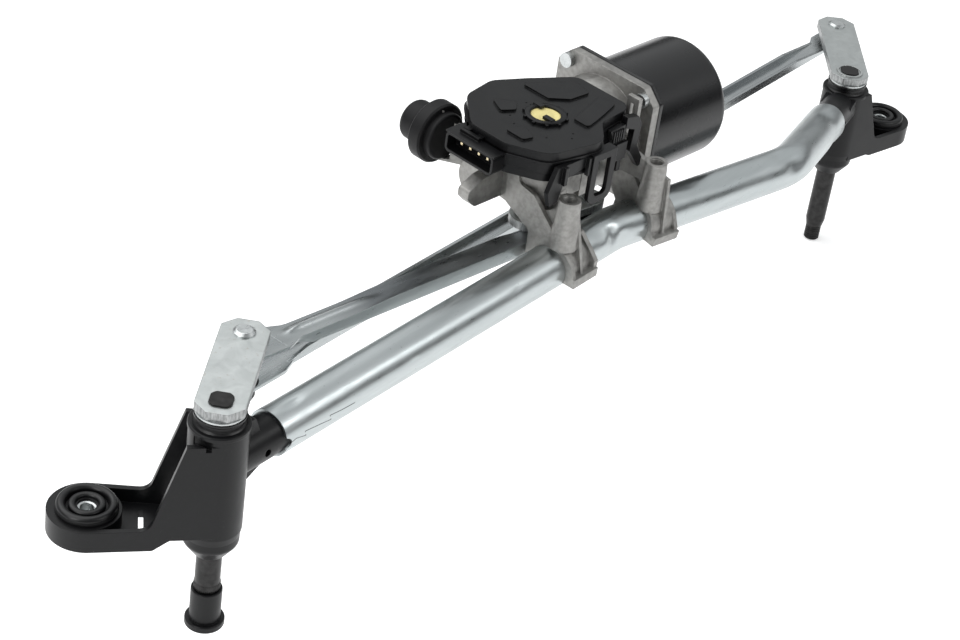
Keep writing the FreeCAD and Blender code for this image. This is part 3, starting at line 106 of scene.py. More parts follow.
# Dents of the tube: place along X, turn round it, length, spread in degrees, depth
TUBE_DENTS = (
    (308.5, 140, 2.6, 24, 1.5), (305.5, 165, 2.4, 20, 1.7), (300.0, 128, 8.0, 20, 0.9),
    (316.0, 172, 7.0, 22, 1.0), (309.5, 118, 3.0, 14, -0.5), (51.0, 97, 6.0, 9, 0.7),
    (385.0, 97, 14.0, 22, 0.9), (409.0, 115, 12.0, 20, 0.7), (476.0, 150, 7.0, 30, 1.8),
    (470.0, 105, 9.0, 22, 0.9), (561.0, 110, 9.0, 40, 0.9), (560.0, 215, 9.0, 30, 0.8),
    (134.0, 165, 3.0, 8, 0.25), (221.5, 140, 2.5, 6, 0.2), (276.0, 134, 3.0, 8, 0.35))
# The notch at the tube's left end: turn round it and half its width
TUBE_NOTCH = (182, 3.4)
# The lock seam's corners: place along X and turn round the tube
LOCK_SEAM = ((86.2, 156), (86.0, 177), (76.8, 175), (67.5, 171), (68.5, 184), (59, 178), (49.2, 173),
             (50, 186), (43, 178), (38.5, 182))
SEAM_HALF = 0.16

# The lights: place from the model's middle, width, height and power
LIGHTS = {
    "key_light": ((-0.3, 0.7, 1.3), 2.0, 1.5, 16),
    "left_light": ((-1.3, 0.1, 0.7), 0.5, 1.0, 6),
    "front_light": ((0.4, -1.3, 1.1), 1.4, 0.5, 7),
}
# The sine of the height above the horizon and the brightness there, behind the object and before it
FAR_SKY = ((0.0, 0.05), (0.18, 0.12), (0.34, 0.75), (0.75, 0.8), (0.9, 0.45), (1.0, 0.40))
NEAR_SKY = ((0.0, 0.03), (0.20, 0.05), (0.45, 0.35), (0.8, 0.45), (1.0, 0.40))


def corners(low_high):
    """A box as plain lists of numbers."""
    return [list(corner) for corner in low_high]


def mm(x, y, z):
    """A point given in millimetres."""
    return Vector((x, y, z)) * MM


def on_motor(u, v, z):
    """A point given along the motor, across it and up, in millimetres."""
    turn = Matrix.Rotation(MOTOR_TURN, 3, "Z")
    return (Vector((*GEAR_AXIS, 0)) + turn @ Vector((u, v, z))) * MM


def facing(place, along=(0, 0, 1)):
    """A frame whose own Z runs along a direction."""
    aim = Vector(along).to_track_quat("Z", "Y").to_matrix().to_4x4()
    return Matrix.Translation(place) @ aim


def motor_frame(u, v, z, tilt=Matrix()):
    """A frame turned with the motor."""
    return Matrix.Translation(on_motor(u, v, z)) @ Matrix.Rotation(MOTOR_TURN, 4, "Z") @ tilt


UPRIGHT = Matrix.Rotation(math.radians(90), 4, "X")


class Look:
    """A procedural material put together around one Principled shader."""

    def __init__(self, name, color, roughness, metallic=0.0, **more):
        self.material = bpy.data.materials.new(name)
        self.material.use_nodes = True
        self.tree = self.material.node_tree
        self.shader = self.tree.nodes["Principled BSDF"]
        self.place = self.tree.nodes.new("ShaderNodeTexCoord").outputs["Object"]
        self.normal = None
        self.set("Base Color", (*color, 1))
        self.set("Roughness", roughness)
        self.set("Metallic", metallic)
        for socket, value in more.items():
            self.set(socket.replace("_", " "), value)

    def set(self, socket, value):
        self.shader.inputs[socket].default_value = value

    def link(self, output, socket):
        self.tree.links.new(output, socket)

    def stretched(self, stretch):
        """The place of a point, stretched along the model's axes."""
        mapping = self.tree.nodes.new("ShaderNodeMapping")
        mapping.inputs["Scale"].default_value = stretch
        self.link(self.place, mapping.inputs["Vector"])
        return mapping.outputs["Vector"]

    def noise(self, size, stretch=(1, 1, 1), detail=2.0, rough=0.5, distortion=0.0):
        """Cloudy grain whose spots measure about size."""
        node = self.tree.nodes.new("ShaderNodeTexNoise")
        node.inputs["Scale"].default_value = 1 / size
        node.inputs["Detail"].default_value = detail
        node.inputs["Roughness"].default_value = rough
        node.inputs["Distortion"].default_value = distortion
        self.link(self.stretched(stretch), node.inputs["Vector"])
        return node.outputs["Fac"]

    def ramp(self, field, low, high, bottom=0.0, top=1.0):
        """The field between low and high, spread from bottom to top."""
        node = self.tree.nodes.new("ShaderNodeMapRange")
        for name, value in (("From Min", low), ("From Max", high), ("To Min", bottom), ("To Max", top)):
            node.inputs[name].default_value = value
        self.link(field, node.inputs["Value"])
        return node.outputs["Result"]

    def product(self, first, second):
        node = self.tree.nodes.new("ShaderNodeMath")
        node.operation = "MULTIPLY"
        self.link(first, node.inputs[0])
        self.link(second, node.inputs[1])
        return node.outputs[0]

    def color_between(self, field, dark, light):
        """Base colour runs from dark to light with the field."""
        node = self.tree.nodes.new("ShaderNodeMix")
        node.data_type = "RGBA"
        node.inputs["A"].default_value = (*dark, 1)
        node.inputs["B"].default_value = (*light, 1)
        self.link(field, node.inputs["Factor"])
        self.link(node.outputs["Result"], self.shader.inputs["Base Color"])

    def roughness_from(self, field):
        self.link(field, self.shader.inputs["Roughness"])

    def bump(self, field, depth, strength=1.0):
        """The field raises the surface by depth."""
        node = self.tree.nodes.new("ShaderNodeBump")
        node.inputs["Distance"].default_value = depth
        node.inputs["Strength"].default_value = strength
        self.link(field, node.inputs["Height"])
        if self.normal is not None:
            self.link(self.normal, node.inputs["Normal"])
        self.normal = node.outputs["Normal"]
        self.link(self.normal, self.shader.inputs["Normal"])

    def rounded_edges(self, radius):
        """Sharp edges catch light as rubbed or moulded ones do."""
        node = self.tree.nodes.new("ShaderNodeBevel")
        node.samples = 4
        node.inputs["Radius"].default_value = radius
        if self.normal is not None:
            self.link(self.normal, node.inputs["Normal"])
        self.normal = node.outputs["Normal"]
        self.link(self.normal, self.shader.inputs["Normal"])

    def up_facing(self, low, high):
        """0 on walls and 1 on surfaces that face up in the model; the mask for painted shade."""
        split = self.tree.nodes.new("ShaderNodeSeparateXYZ")
        coordinates = self.tree.nodes.new("ShaderNodeTexCoord")
        self.link(coordinates.outputs["Normal"], split.inputs["Vector"])
        return self.ramp(split.outputs["Z"], low, high)

    def along_x(self, low, high):
        """0 before low and 1 past high, along the model's X at rest."""
        split = self.tree.nodes.new("ShaderNodeSeparateXYZ")
        self.link(self.place, split.inputs["Vector"])
        return self.ramp(split.outputs["X"], low, high)

    def mixed(self, factor, first, second):
        """A colour output between two colours or outputs."""
        node = self.tree.nodes.new("ShaderNodeMix")
        node.data_type = "RGBA"
        self.link(factor, node.inputs["Factor"])
        for socket, value in (("A", first), ("B", second)):
            if isinstance(value, tuple):
                node.inputs[socket].default_value = (*value, 1)
            else:
                self.link(value, node.inputs[socket])
        return node.outputs["Result"]


def zinc(name, light, dark, roughness, streak=(1, 1, 1), hammer=0.0, painted_dark_top=None, painted_dark_top_fade=(0, 0)):
    """Zinc plated steel: a cloudy skin with drawn streaks and fine specks.

    Surfaces that face up take a darker colour, a painted shade, which sets in along X between two given
    places.
    """
    look = Look(name, light, roughness, metallic=1.0)
    look.rounded_edges(0.5 * MM)
    cloud = look.noise(16 * MM, stretch=streak, detail=4, rough=0.55)
    fine = look.noise(1.1 * MM, stretch=streak, detail=3)
    specks = look.ramp(look.noise(2.6 * MM, detail=4, rough=0.7), 0.66, 0.74)
    plated = look.mixed(look.ramp(cloud, 0.32, 0.68), dark, light)
    worn_and_painted_shade = look.mixed(specks, plated, tuple(0.72 * part for part in dark))
    # Painted shade: surfaces that face up darken past a place along X, and the zinc colour then carries this
    # shade as well as the specks.
    if painted_dark_top:
        worn_and_painted_shade = look.mixed(look.product(look.up_facing(0.6, 0.95), look.along_x(*painted_dark_top_fade)), worn_and_painted_shade, painted_dark_top)
    look.link(worn_and_painted_shade, look.shader.inputs["Base Color"])
    look.roughness_from(look.ramp(look.product(cloud, fine), 0.1, 0.45, roughness - 0.07, roughness + 0.1))
    look.bump(fine, 0.012 * MM, 0.5)
    if hammer:
        look.bump(look.noise(5 * MM, detail=2), hammer)
    return look.material


def plate_zinc(name):
    """The levers' plating: pale on top, a darker sheared and hammered edge whose darkness is partly painted
    shade on walls that face sideways.
    """
    look = Look(name, (0.6, 0.62, 0.61), 0.42, metallic=1.0)
    look.rounded_edges(0.7 * MM)
    cloud = look.noise(8 * MM, detail=5, rough=0.6, distortion=0.8)
    stain = look.ramp(look.noise(3 * MM, detail=4, rough=0.7), 0.62, 0.75)
    face = look.mixed(look.ramp(cloud, 0.3, 0.7), (0.47, 0.495, 0.49), (0.58, 0.605, 0.60))
    face = look.mixed(stain, face, (0.42, 0.40, 0.36))
    tears = look.noise(0.9 * MM, stretch=(1, 1, 0.25), detail=3)
    # The edge colour: streaks of the sheared edge's own tearing, and a darkness against the tops that is
    # painted shade.
    edge = look.mixed(look.ramp(tears, 0.35, 0.65), (0.24, 0.245, 0.245), (0.42, 0.43, 0.43))
    look.link(look.mixed(look.up_facing(0.3, 0.6), edge, face), look.shader.inputs["Base Color"])
    look.roughness_from(look.ramp(cloud, 0.3, 0.7, 0.36, 0.5))
    look.bump(look.noise(1.4 * MM, detail=3), 0.03 * MM, 0.5)
    return look.material


def cast(name):
    """Die cast aluminium: warm grey, fine grained and slightly cloudy."""
    look = Look(name, (0.4, 0.39, 0.37), 0.5, metallic=0.85)
    look.rounded_edges(0.8 * MM)
    cloud = look.noise(14 * MM, detail=6, rough=0.6)
    flow = look.noise(3 * MM, detail=4)
    look.color_between(look.ramp(look.product(cloud, flow), 0.12, 0.4), (0.25, 0.245, 0.235),
                       (0.39, 0.385, 0.37))
    look.roughness_from(look.ramp(cloud, 0.3, 0.7, 0.42, 0.58))
    look.bump(look.noise(0.6 * MM, detail=3), 0.06 * MM, 0.6)
    look.bump(look.noise(6 * MM, detail=2), 0.10 * MM, 0.4)
    return look.material


def plastic(name, color, roughness, grain=0.35 * MM, depth=0.03 * MM, edge=0.5 * MM, gloss=0.25):
    """Moulded plastic with an eroded skin and faint flow marks."""
    look = Look(name, color, roughness, Specular_IOR_Level=gloss)
    look.rounded_edges(edge)
    flow = look.noise(22 * MM, detail=4, distortion=1.0)
    scuff = look.ramp(look.noise(1.8 * MM, detail=5, rough=0.7), 0.6, 0.8)
    base = look.mixed(look.ramp(flow, 0.3, 0.7), tuple(0.75 * part for part in color),
                      tuple(1.25 * part for part in color))
    pale = tuple(min(1.0, 1.5 * part + 0.008) for part in color)
    look.link(look.mixed(scuff, base, pale), look.shader.inputs["Base Color"])
    look.roughness_from(look.ramp(flow, 0.3, 0.7, roughness - 0.05, roughness + 0.08))
    look.bump(look.noise(grain, detail=2), depth, 0.5)
    return look.material


def steel(name, light, dark, roughness, turned=0.25 * MM):
    """Turned steel with fine rings across its axis."""
    look = Look(name, light, roughness, metallic=1.0)
    look.rounded_edges(0.3 * MM)
    cloud = look.noise(4 * MM, detail=4)
    rings = look.noise(turned, stretch=(0.2, 0.2, 1), detail=1)
    look.color_between(look.ramp(cloud, 0.3, 0.7), dark, light)
    look.roughness_from(look.ramp(cloud, 0.3, 0.7, roughness - 0.06, roughness + 0.1))
    look.bump(rings, 0.01 * MM, 0.5)
    return look.material


def painted(name):
    """Satin black paint on a drawn can."""
    look = Look(name, (0.008, 0.008, 0.009), 0.3, Specular_IOR_Level=0.35, Coat_Weight=0.15,
                Coat_Roughness=0.15)
    look.rounded_edges(0.8 * MM)
    cloud = look.noise(30 * MM, detail=3)
    look.color_between(look.ramp(cloud, 0.3, 0.7), (0.0035, 0.0036, 0.0042), (0.006, 0.0062, 0.007))
    look.roughness_from(look.ramp(cloud, 0.3, 0.7, 0.22, 0.30))
    look.bump(look.noise(1.6 * MM, detail=2), 0.02 * MM, 0.4)
    return look.material


def looks():
    """Every material of the linkage by name."""
    drawn = (0.12, 1, 1)
    return {
        "tube": zinc("zinc_tube", (0.56, 0.595, 0.60), (0.44, 0.475, 0.48), 0.33, streak=drawn),
        "plate": plate_zinc("zinc_plate"),
        # The drive link's channel has painted shade: its tops turn darker past the given places along X.
        "channel": zinc("zinc_channel", (0.52, 0.545, 0.545), (0.36, 0.385, 0.39), 0.32, streak=drawn,
                        hammer=0.05 * MM, painted_dark_top=(0.22, 0.235, 0.245), painted_dark_top_fade=(0.108, 0.142)),
        "open_channel": zinc("zinc_open_channel", (0.55, 0.58, 0.58), (0.34, 0.36, 0.37), 0.28, streak=drawn),
        "cast": cast("cast_aluminium"),
        "housing": plastic("housing_plastic", (0.0055, 0.0056, 0.0062), 0.36),
        "cover": plastic("cover_plastic", (0.0045, 0.0046, 0.0052), 0.33, grain=0.25 * MM),
        "socket": plastic("socket_plastic", (0.012, 0.012, 0.013), 0.45),
        "rubber": plastic("black_rubber", (0.005, 0.005, 0.0056), 0.48, grain=0.6 * MM),
        "gloss_rubber": plastic("wet_rubber", (0.003, 0.003, 0.0036), 0.34, gloss=0.4),
        "dark_steel": steel("dark_steel", (0.052, 0.051, 0.051), (0.030, 0.0295, 0.0295), 0.36),
        "bright_steel": steel("bright_steel", (0.60, 0.62, 0.62), (0.46, 0.48, 0.48), 0.28),
        "can": painted("black_can"),
        "brass": steel("pin_brass", (0.80, 0.72, 0.52), (0.62, 0.52, 0.32), 0.25),
        "bronze": steel("bronze", (0.60, 0.44, 0.26), (0.45, 0.32, 0.18), 0.45),
        "disc": plastic("yellow_disc", (0.78, 0.68, 0.30), 0.5),
        "board": plastic("board_laminate", (0.02, 0.12, 0.05), 0.4),
        "acetal": plastic("natural_acetal", (0.75, 0.73, 0.66), 0.45),
        "ferrite": plastic("ferrite", (0.08, 0.08, 0.085), 0.6),
        "core": steel("core_steel", (0.35, 0.33, 0.31), (0.22, 0.20, 0.18), 0.5),
        "copper": steel("copper", (0.72, 0.38, 0.22), (0.55, 0.28, 0.16), 0.35),
    }


WEARS = {
    "tube": ["frame_tube"],
    "plate": ["left_lever", "right_lever", "crank_arm"],
    "channel": ["drive_link"],
    "open_channel": ["transfer_link"],
    "cast": ["gear_housing"],
    "housing": ["left_bearing_housing", "right_bearing_housing", "shaft_protector_cap"],
    "cover": ["gear_cover", "brush_holder"],
    "socket": ["drive_link_near_socket", "drive_link_far_socket",
               "transfer_link_near_socket", "transfer_link_far_socket"],
    "rubber": ["left_grommet", "right_grommet", "third_mount_rubber", "motor_gasket"],
    "gloss_rubber": ["left_shaft_seal", "right_shaft_seal"],
    "dark_steel": ["left_pivot_shaft", "right_pivot_shaft"],
    "bright_steel": ["left_grommet_sleeve", "right_grommet_sleeve", "left_thrust_washer",
                     "right_thrust_washer", "left_retaining_ring", "right_retaining_ring",
                     "left_ball_stud", "right_ball_stud", "crank_ball_stud", "right_lever_rivet",
                     "crank_rivet", "output_shaft", "worm_shaft", "flange_screws"],
    "can": ["motor_can"],
    "brass": ["connector_pins"],
    "bronze": ["left_shaft_bushes", "right_shaft_bushes", "output_bush", "armature_bushes"],
    "disc": ["cover_vent_disc"],
    "board": ["circuit_board"],
    "acetal": ["worm_wheel"],
    "ferrite": ["motor_magnets", "carbon_brushes"],
    "core": ["armature_core"],
    "copper": ["commutator"],
}


def dress(nodes, materials):
    """Gives every node of the frame its material."""
    for look, names in WEARS.items():
        for name in names:
            mesh = nodes[name].data
            mesh.materials.clear()
            mesh.materials.append(materials[look])


class Maker:
    """Builds detailed pieces, attaches each to its body and gives it its material."""

    def __init__(self, materials):
        self.materials = materials

    def piece(self, name, mesh, place, look, body, slot, replaced=()):
        """Finishes a bmesh made in millimetres as a piece of the model."""
        bmesh.ops.remove_doubles(mesh, verts=mesh.verts, dist=1e-4)
        bmesh.ops.recalc_face_normals(mesh, faces=mesh.faces)
        data = bpy.data.meshes.new(name)
        mesh.to_mesh(data)
        mesh.free()
        data.transform(place @ Matrix.Scale(MM, 4))
        data.shade_smooth()
        data.set_sharp_from_angle(angle=SMOOTH_ANGLE)
        data.materials.append(self.materials[look])
        made = bpy.data.objects.new(name, data)
        bpy.context.collection.objects.link(made)
        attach(made, body)
        if replaced:
            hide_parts(*replaced)
        return made


def loft(rings, closed=False, mesh=None):
    """Walls through rings of equal count; closed joins the last ring to the first."""
    mesh = mesh or bmesh.new()
    rows = [[mesh.verts.new(point) for point in ring] for ring in rings]
    pairs = list(zip(rows, rows[1:])) + ([(rows[-1], rows[0])] if closed else [])
    for low, high in pairs:
        for i in range(len(low)):
            k = (i + 1) % len(low)
            mesh.faces.new((low[i], low[k], high[k], high[i]))
    return mesh


def ring_at(radius, height, count=64):
    """Points round own Z."""
    return [(radius * math.cos(turn), radius * math.sin(turn), height)
            for turn in (2 * math.pi * i / count for i in range(count))]


def lathe(profile, count=64):
    """A closed band turned from a closed profile of (radius, height)."""
    return loft([ring_at(radius, height, count) for radius, height in profile], closed=True)


def rib(radius, width, height, steps=9):
    """A half round rib's closed profile on a flat."""
    arc = [(radius - width / 2 * math.cos(math.pi * i / steps), height * math.sin(math.pi * i / steps))
           for i in range(steps + 1)]
    return arc + [(radius + width / 2, -1.0), (radius - width / 2, -1.0)]


def prism(outline, thick, mesh=None, low=0.0):
    """An outline on own XY, with its thickness along own Z."""
    mesh = mesh or bmesh.new()
    rows = [[mesh.verts.new((x, y, z)) for x, y in outline] for z in (low, low + thick)]
    mesh.faces.new(rows[0][::-1])
    mesh.faces.new(rows[1])
    for i in range(len(outline)):
        k = (i + 1) % len(outline)
        mesh.faces.new((rows[0][i], rows[0][k], rows[1][k], rows[1][i]))
    return mesh


def box(center, measures, mesh=None):
    """A block in a mesh."""
    (x, y, z), (length, width, height) = center, measures
    outline = [(x - length / 2, y - width / 2), (x + length / 2, y - width / 2),
               (x + length / 2, y + width / 2), (x - length / 2, y + width / 2)]
    return prism(outline, height, mesh, z - height / 2)


def rounded_outline(points, inset=0.0, steps=5):
    """An outline with an arc at each (x, y, radius), drawn in by the inset."""
    shrink, made = 1 - inset / COVER_HALF, []
    spots = [(Vector((x, y)) * shrink, radius * shrink) for x, y, radius in points]
    for i, (corner, radius) in enumerate(spots):
        back = (spots[i - 1][0] - corner).normalized()
        ahead = (spots[(i + 1) % len(spots)][0] - corner).normalized()
        half = back.angle(ahead) / 2
        reach = radius / math.tan(half)
        centre = corner + (back + ahead).normalized() * (radius / math.sin(half))
        start, end = corner + back * reach - centre, corner + ahead * reach - centre
        sweep = start.angle_signed(end)
        for k in range(steps + 1):
            turn = Matrix.Rotation(-sweep * k / steps, 2)
            made.append(tuple(centre + turn @ start))
    return made


def band_round(outline_outer, outline_inner, low, high):
    """A wall between two matching outlines."""
    rings = [[(x, y, z) for x, y in outline] for outline, z in
             ((outline_inner, low), (outline_outer, low), (outline_outer, high), (outline_inner, high))]
    return loft(rings, closed=True)


def tube_stations(step=2.5):
    """Centre and direction at places along the tube's route, from its left end."""
    route = [Vector(point) for point in TUBE_ROUTE]
    route[0] += (route[1] - route[0]).normalized() * TUBE_GAPS[0]
    route[-1] += (route[-2] - route[-1]).normalized() * TUBE_GAPS[1]
    spots, start = [], route[0]

    def straight(first, last):
        count = max(1, round((last - first).length / step))
        way = (last - first).normalized()
        spots.extend((first.lerp(last, i / count), way) for i in range(count))

    for before, corner, after in zip(route, route[1:], route[2:]):
        back, ahead = (before - corner).normalized(), (after - corner).normalized()
        half = back.angle(ahead) / 2
        reach = TUBE_BEND_R / math.tan(half)
        centre = corner + (back + ahead).normalized() * (TUBE_BEND_R / math.sin(half))
        enter, leave = corner + back * reach, corner + ahead * reach
        straight(start, enter)
        sweep = (enter - centre).angle(leave - centre)
        axis = (enter - centre).cross(leave - centre).normalized()
        count = max(3, round(TUBE_BEND_R * sweep / step))
        for i in range(count):
            turn = Matrix.Rotation(sweep * i / count, 3, axis)
            spots.append((centre + turn @ (enter - centre), turn @ -back))
        start = leave
    straight(start, route[-1])
    spots.append((route[-1], (route[-1] - start).normalized()))
    return spots


def tube_radius(x, turn):
    """The tube's outer radius at a place, with its dents."""
    radius = TUBE_R
    for place, spot, length, spread, depth in TUBE_DENTS:
        across = (turn - spot + 180) % 360 - 180
        away = (x - place) / length
        if abs(away) < 3 and abs(across) < 3 * spread:
            radius -= depth * math.exp(-away ** 2 - (across / spread) ** 2)
    return radius


def frame_tube(make):
    """The drawn tube with its crushed spots and the notch at its left end."""
    count, outer, inner = 96, [], []
    for index, (centre, way) in enumerate(tube_stations()):
        side = Vector((0, 0, 1)).cross(way).normalized()
        up = way.cross(side)
        rows = ([], [])
        for i in range(count):
            turn = 360 * i / count
            aim = side * math.cos(math.radians(turn)) + up * math.sin(math.radians(turn))
            across = math.radians((turn - TUBE_NOTCH[0] + 180) % 360 - 180) * TUBE_R
            notch = math.sqrt(max(0.0, TUBE_NOTCH[1] ** 2 - across ** 2)) * max(0.0, 1 - index / 4)
            radius = tube_radius(centre.x, turn)
            for row, reach in zip(rows, (radius, radius - TUBE_WALL)):
                row.append(centre + aim * reach + way * notch)
        outer.append(rows[0])
        inner.append(rows[1])
    make.piece("frame_tube_drawn", loft(outer + inner[::-1], closed=True), Matrix(), "tube", "frame",
               "zinc_tube", ["frame_tube"])


def lock_seam(make):
    """The stepped line where the tube's end is locked, as a fine dark groove."""
    start, end = Vector(TUBE_ROUTE[0]), Vector(TUBE_ROUTE[1])
    way = (end - start).normalized()
    side = Vector((0, 0, 1)).cross(way).normalized()
    spots = []
    for x, turn in LOCK_SEAM:
        aim = side * math.cos(math.radians(turn)) + way.cross(side) * math.sin(math.radians(turn))
        spots.append((start + way * (x / way.x), aim))
    mesh = bmesh.new()
    for (first, aim_one), (last, aim_two) in zip(spots, spots[1:]):
        one, two = first + aim_one * TUBE_R, last + aim_two * TUBE_R
        across = (two - one).cross(aim_one).normalized() * SEAM_HALF
        loft([[point - across - aim * 0.3, point + across - aim * 0.3, point + across + aim * 0.06,
               point - across + aim * 0.06] for point, aim in ((one, aim_one), (two, aim_two))], mesh=mesh)
    make.piece("tube_lock_seam", mesh, Matrix(), "dark_steel", "frame", "dark_steel")


def drive_link_skin(make):
    """The pressed rims and bead of the drive link, laid round its channel."""
    def pin_place(middle, reach, turn, height):
        return Vector((middle[0] + reach * math.cos(turn), middle[1] + reach * math.sin(turn), height))

    pin, end = pin_place((0, 0), *LEVER_PIN), pin_place(GEAR_AXIS, *CRANK_PIN)
    along = (end - pin).normalized()
    side = Vector((0, 0, 1)).cross(along).normalized()
    up, length = along.cross(side), (end - pin).length
    place = Matrix.Translation(pin * MM) @ Matrix((along, side, up)).transposed().to_4x4()
    first, last, count, wall = 22, length - 54, 56, 0.7

    def blend(x, low, high):
        share = min(1.0, max(0.0, (x - low) / (high - low)))
        return share * share * (3 - 2 * share)

    def ring(x):
        half = 10.0 - 3.5 * blend(x, 24, 36) + 0.06
        tip = -4.9 * blend(x, 30, 48) * (1 - blend(x, length - 32, length - 24)) + 1.3
        rim = 1.3 * blend(x, 70, 110) * (1 - blend(x, length - 74, length - 58))
        bead = 2.6 * blend(x, 26, 40) * (1 - blend(x, 78, 104))
        shares = [-1 + 2 * i / 16 for i in range(17)]
        crown = [(half * y, LINK_SHEET + 0.15 + rim * abs(y) ** 3 + bead * math.exp(-(y * half / 2.2) ** 2))
                 for y in shares]
        back = [(y * (half - wall) / half, z - 0.9 - rim * abs(y / half) ** 3) for y, z in reversed(crown)]
        outline = [(-half, tip), *crown, (half, tip), (half - wall, tip), *back, (wall - half, tip)]
        return [(x, y, z) for y, z in outline]

    rings = [ring(first + (last - first) * k / count) for k in range(count + 1)]
    mesh = loft(rings)
    mesh.verts.ensure_lookup_table()
    size = len(rings[0])
    for low in (0, len(mesh.verts) - size):
        mesh.faces.new([mesh.verts[low + i] for i in range(size)])
    make.piece("drive_link_skin", mesh, place, "channel", "drive_link", "zinc_channel")


def sleeve_face(make, side):
    """The bright end of a mount's steel sleeve."""
    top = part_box(side + "_grommet_sleeve")[1][2] / MM
    profile = [(3.3, top - 2), (3.3, top + 0.1), (3.9, top + 0.5), (4.9, top + 0.5), (5.3, top + 0.1),
               (5.3, top - 2)]
    make.piece(side + "_sleeve_face", lathe(profile, 48), facing(mm(*MOUNTS[side], 0)), "bright_steel",
               "frame", "bright_steel")


def grommet_ribs(make, side):
    """The two round ribs on a mount's rubber."""
    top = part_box(side + "_grommet")[1][2] / MM
    mesh = bmesh.new()
    for measures in GROMMET_RIBS:
        loft([ring_at(radius, height) for radius, height in rib(*measures)], closed=True, mesh=mesh)
    make.piece(side + "_grommet_ribs", mesh, facing(mm(*MOUNTS[side], top - 0.4)), "gloss_rubber", "frame",
               "black_rubber")


def splines(make):
    """Fine splines round the left shaft, above its cap."""
    low, high, radius = SPLINES
    rings = []
    for height, grow in ((low, 0.0), (low + 0.4, SPLINE_DEPTH), (high - 0.4, SPLINE_DEPTH), (high, 0.0)):
        ring = []
        for i in range(2 * SPLINE_COUNT):
            reach, turn = radius + (grow if i % 2 else 0.0), math.pi * i / SPLINE_COUNT
            ring.append((reach * math.cos(turn), reach * math.sin(turn), height))
        rings.append(ring)
    inner = [[(x * 0.9, y * 0.9, z) for x, y, z in ring] for ring in (rings[-1], rings[0])]
    make.piece("left_shaft_splines", loft(rings + inner, closed=True), facing(mm(0, 0, 0)), "dark_steel",
               "left_rocker", "dark_steel")


def shaft_thread(make):
    """The right shaft's thread, as closed ridges."""
    profile = []
    for i in range(THREAD_TURNS):
        base, crest = i * THREAD_PITCH, THREAD_R + THREAD_DEPTH
        profile += [(THREAD_R, base), (crest, base + 0.4 * THREAD_PITCH), (crest, base + 0.5 * THREAD_PITCH)]
    top, core = THREAD_TURNS * THREAD_PITCH, THREAD_R - 0.6
    profile += [(THREAD_R, top), (core, top), (core, 0)]
    make.piece("right_shaft_thread", lathe(profile, 40), facing(mm(RIGHT_AXIS_X, 0, THREAD_FOOT)),
               "dark_steel", "right_rocker", "dark_steel")


def boss_thread(make, number):
    """The chamfered mouth and first threads inside a cast boss."""
    x, y, top = BOSSES[number]
    profile = [(4.6, top), (4.05, top - 0.8)]
    for i in range(6):
        profile += [(3.7, top - 1.2 - i), (4.05, top - 1.7 - i)]
    profile += [(4.6, top - 7.2)]
    make.piece(f"boss_{number}_thread", lathe(profile, 40), facing(mm(x, y, 0)), "cast", "frame",
               "cast_aluminium")


def third_mount_ring(make):
    """The black rubber rim that wraps the third mount's lug."""
    profile = [(12.4, -4.5), (17.0, -4.5), (18.0, -3.5), (18.0, 3.5), (17.0, 4.5), (12.4, 4.5)]
    place = facing(on_motor(*THIRD_MOUNT), (-math.sin(MOTOR_TURN), math.cos(MOTOR_TURN), 0))
    make.piece("third_mount_rim", lathe(profile), place, "rubber", "frame", "black_rubber")


def cover_details(make):
    """The cover's lip, skirt, clip ring and dimples."""
    outer, inner = rounded_outline(COVER_OUTLINE, -1.0), rounded_outline(COVER_OUTLINE, 1.0)
    lip = band_round(outer, inner, 0, 1.4)
    make.piece("cover_lip", lip, motor_frame(0, 0, SEAT_TOP + 6.2), "cover", "frame", "black_plastic")
    skirt = band_round(rounded_outline(COVER_OUTLINE, 0.6), rounded_outline(COVER_OUTLINE, 2.2), 0, 5.5)
    make.piece("cover_skirt", skirt, motor_frame(0, 0, SEAT_TOP - 5.0), "cover", "frame", "black_plastic")
    ring = lathe([(8.5, 0), (11.8, 0), (11.8, 1.6), (11.2, 2.0), (9.2, 2.0), (8.5, 1.4)])
    for i in range(10):
        turn = math.radians(36 * i + 10)
        box((12.2 * math.cos(turn), 12.2 * math.sin(turn), 0.7), (1.6, 1.6, 1.4), ring)
    box((3.5, 8.6, 1.9), (3.4, 6.0, 1.6), ring)
    box((-3.6, -5.6, 1.9), (3.2, 6.6, 1.6), ring)
    make.piece("disc_clip_ring", ring, motor_frame(0, 0, COVER_TOP), "cover", "frame", "black_plastic")
    dots = bmesh.new()
    for u, v in COVER_DIMPLES:
        profile = ((0.55, -0.5), (0.55, 0.25), (0.2, 0.25), (0.2, -0.5))
        loft([[(u + x, v + y, z) for x, y, z in ring_at(radius, height, 12)] for radius, height in profile],
             closed=True, mesh=dots)
    make.piece("cover_dimples", dots, motor_frame(0, 0, COVER_TOP), "gloss_rubber", "frame", "black_plastic")


def cover_front(make):
    """Apron, louvre, clip and cast block that hang below the cover's front edge."""
    apron = prism(APRON_OUTLINE, 3.0)
    for u in (-22, -3):
        box((u, 0.5, 4.2), (2.4, 11, 2.4), apron)
    make.piece("front_apron", apron, motor_frame(0, APRON_PLACE, SEAT_TOP, UPRIGHT), "cover", "frame",
               "black_plastic")
    louvre = prism(LOUVRE_OUTLINE, 3.0)
    for i in range(5):
        box((30 + 1.9 * i, 2.6, 3.2), (0.9, 7.0, 1.2), louvre)
    box((37, -8, 1.5), (9, 11, 6), louvre)
    box((38.5, -17, 1.5), (3.4, 9, 3.4), louvre)
    make.piece("front_louvre", louvre, motor_frame(0, LOUVRE_PLACE, SEAT_TOP, UPRIGHT), "cover", "frame",
               "black_plastic")
    clip = prism(CLIP_OUTLINE, 4.0)
    make.piece("side_clip", clip, motor_frame(0, CLIP_PLACE, SEAT_TOP, UPRIGHT), "cover", "frame",
               "black_plastic")
    block = box((-6, 116.5, 0), (16, 14, 5))
    box((8, 113, -1), (7, 18, 4), block)
    make.piece("cast_front_block", block, motor_frame(0, BLOCK_PLACE, 0, UPRIGHT), "cast", "frame",
               "cast_aluminium")


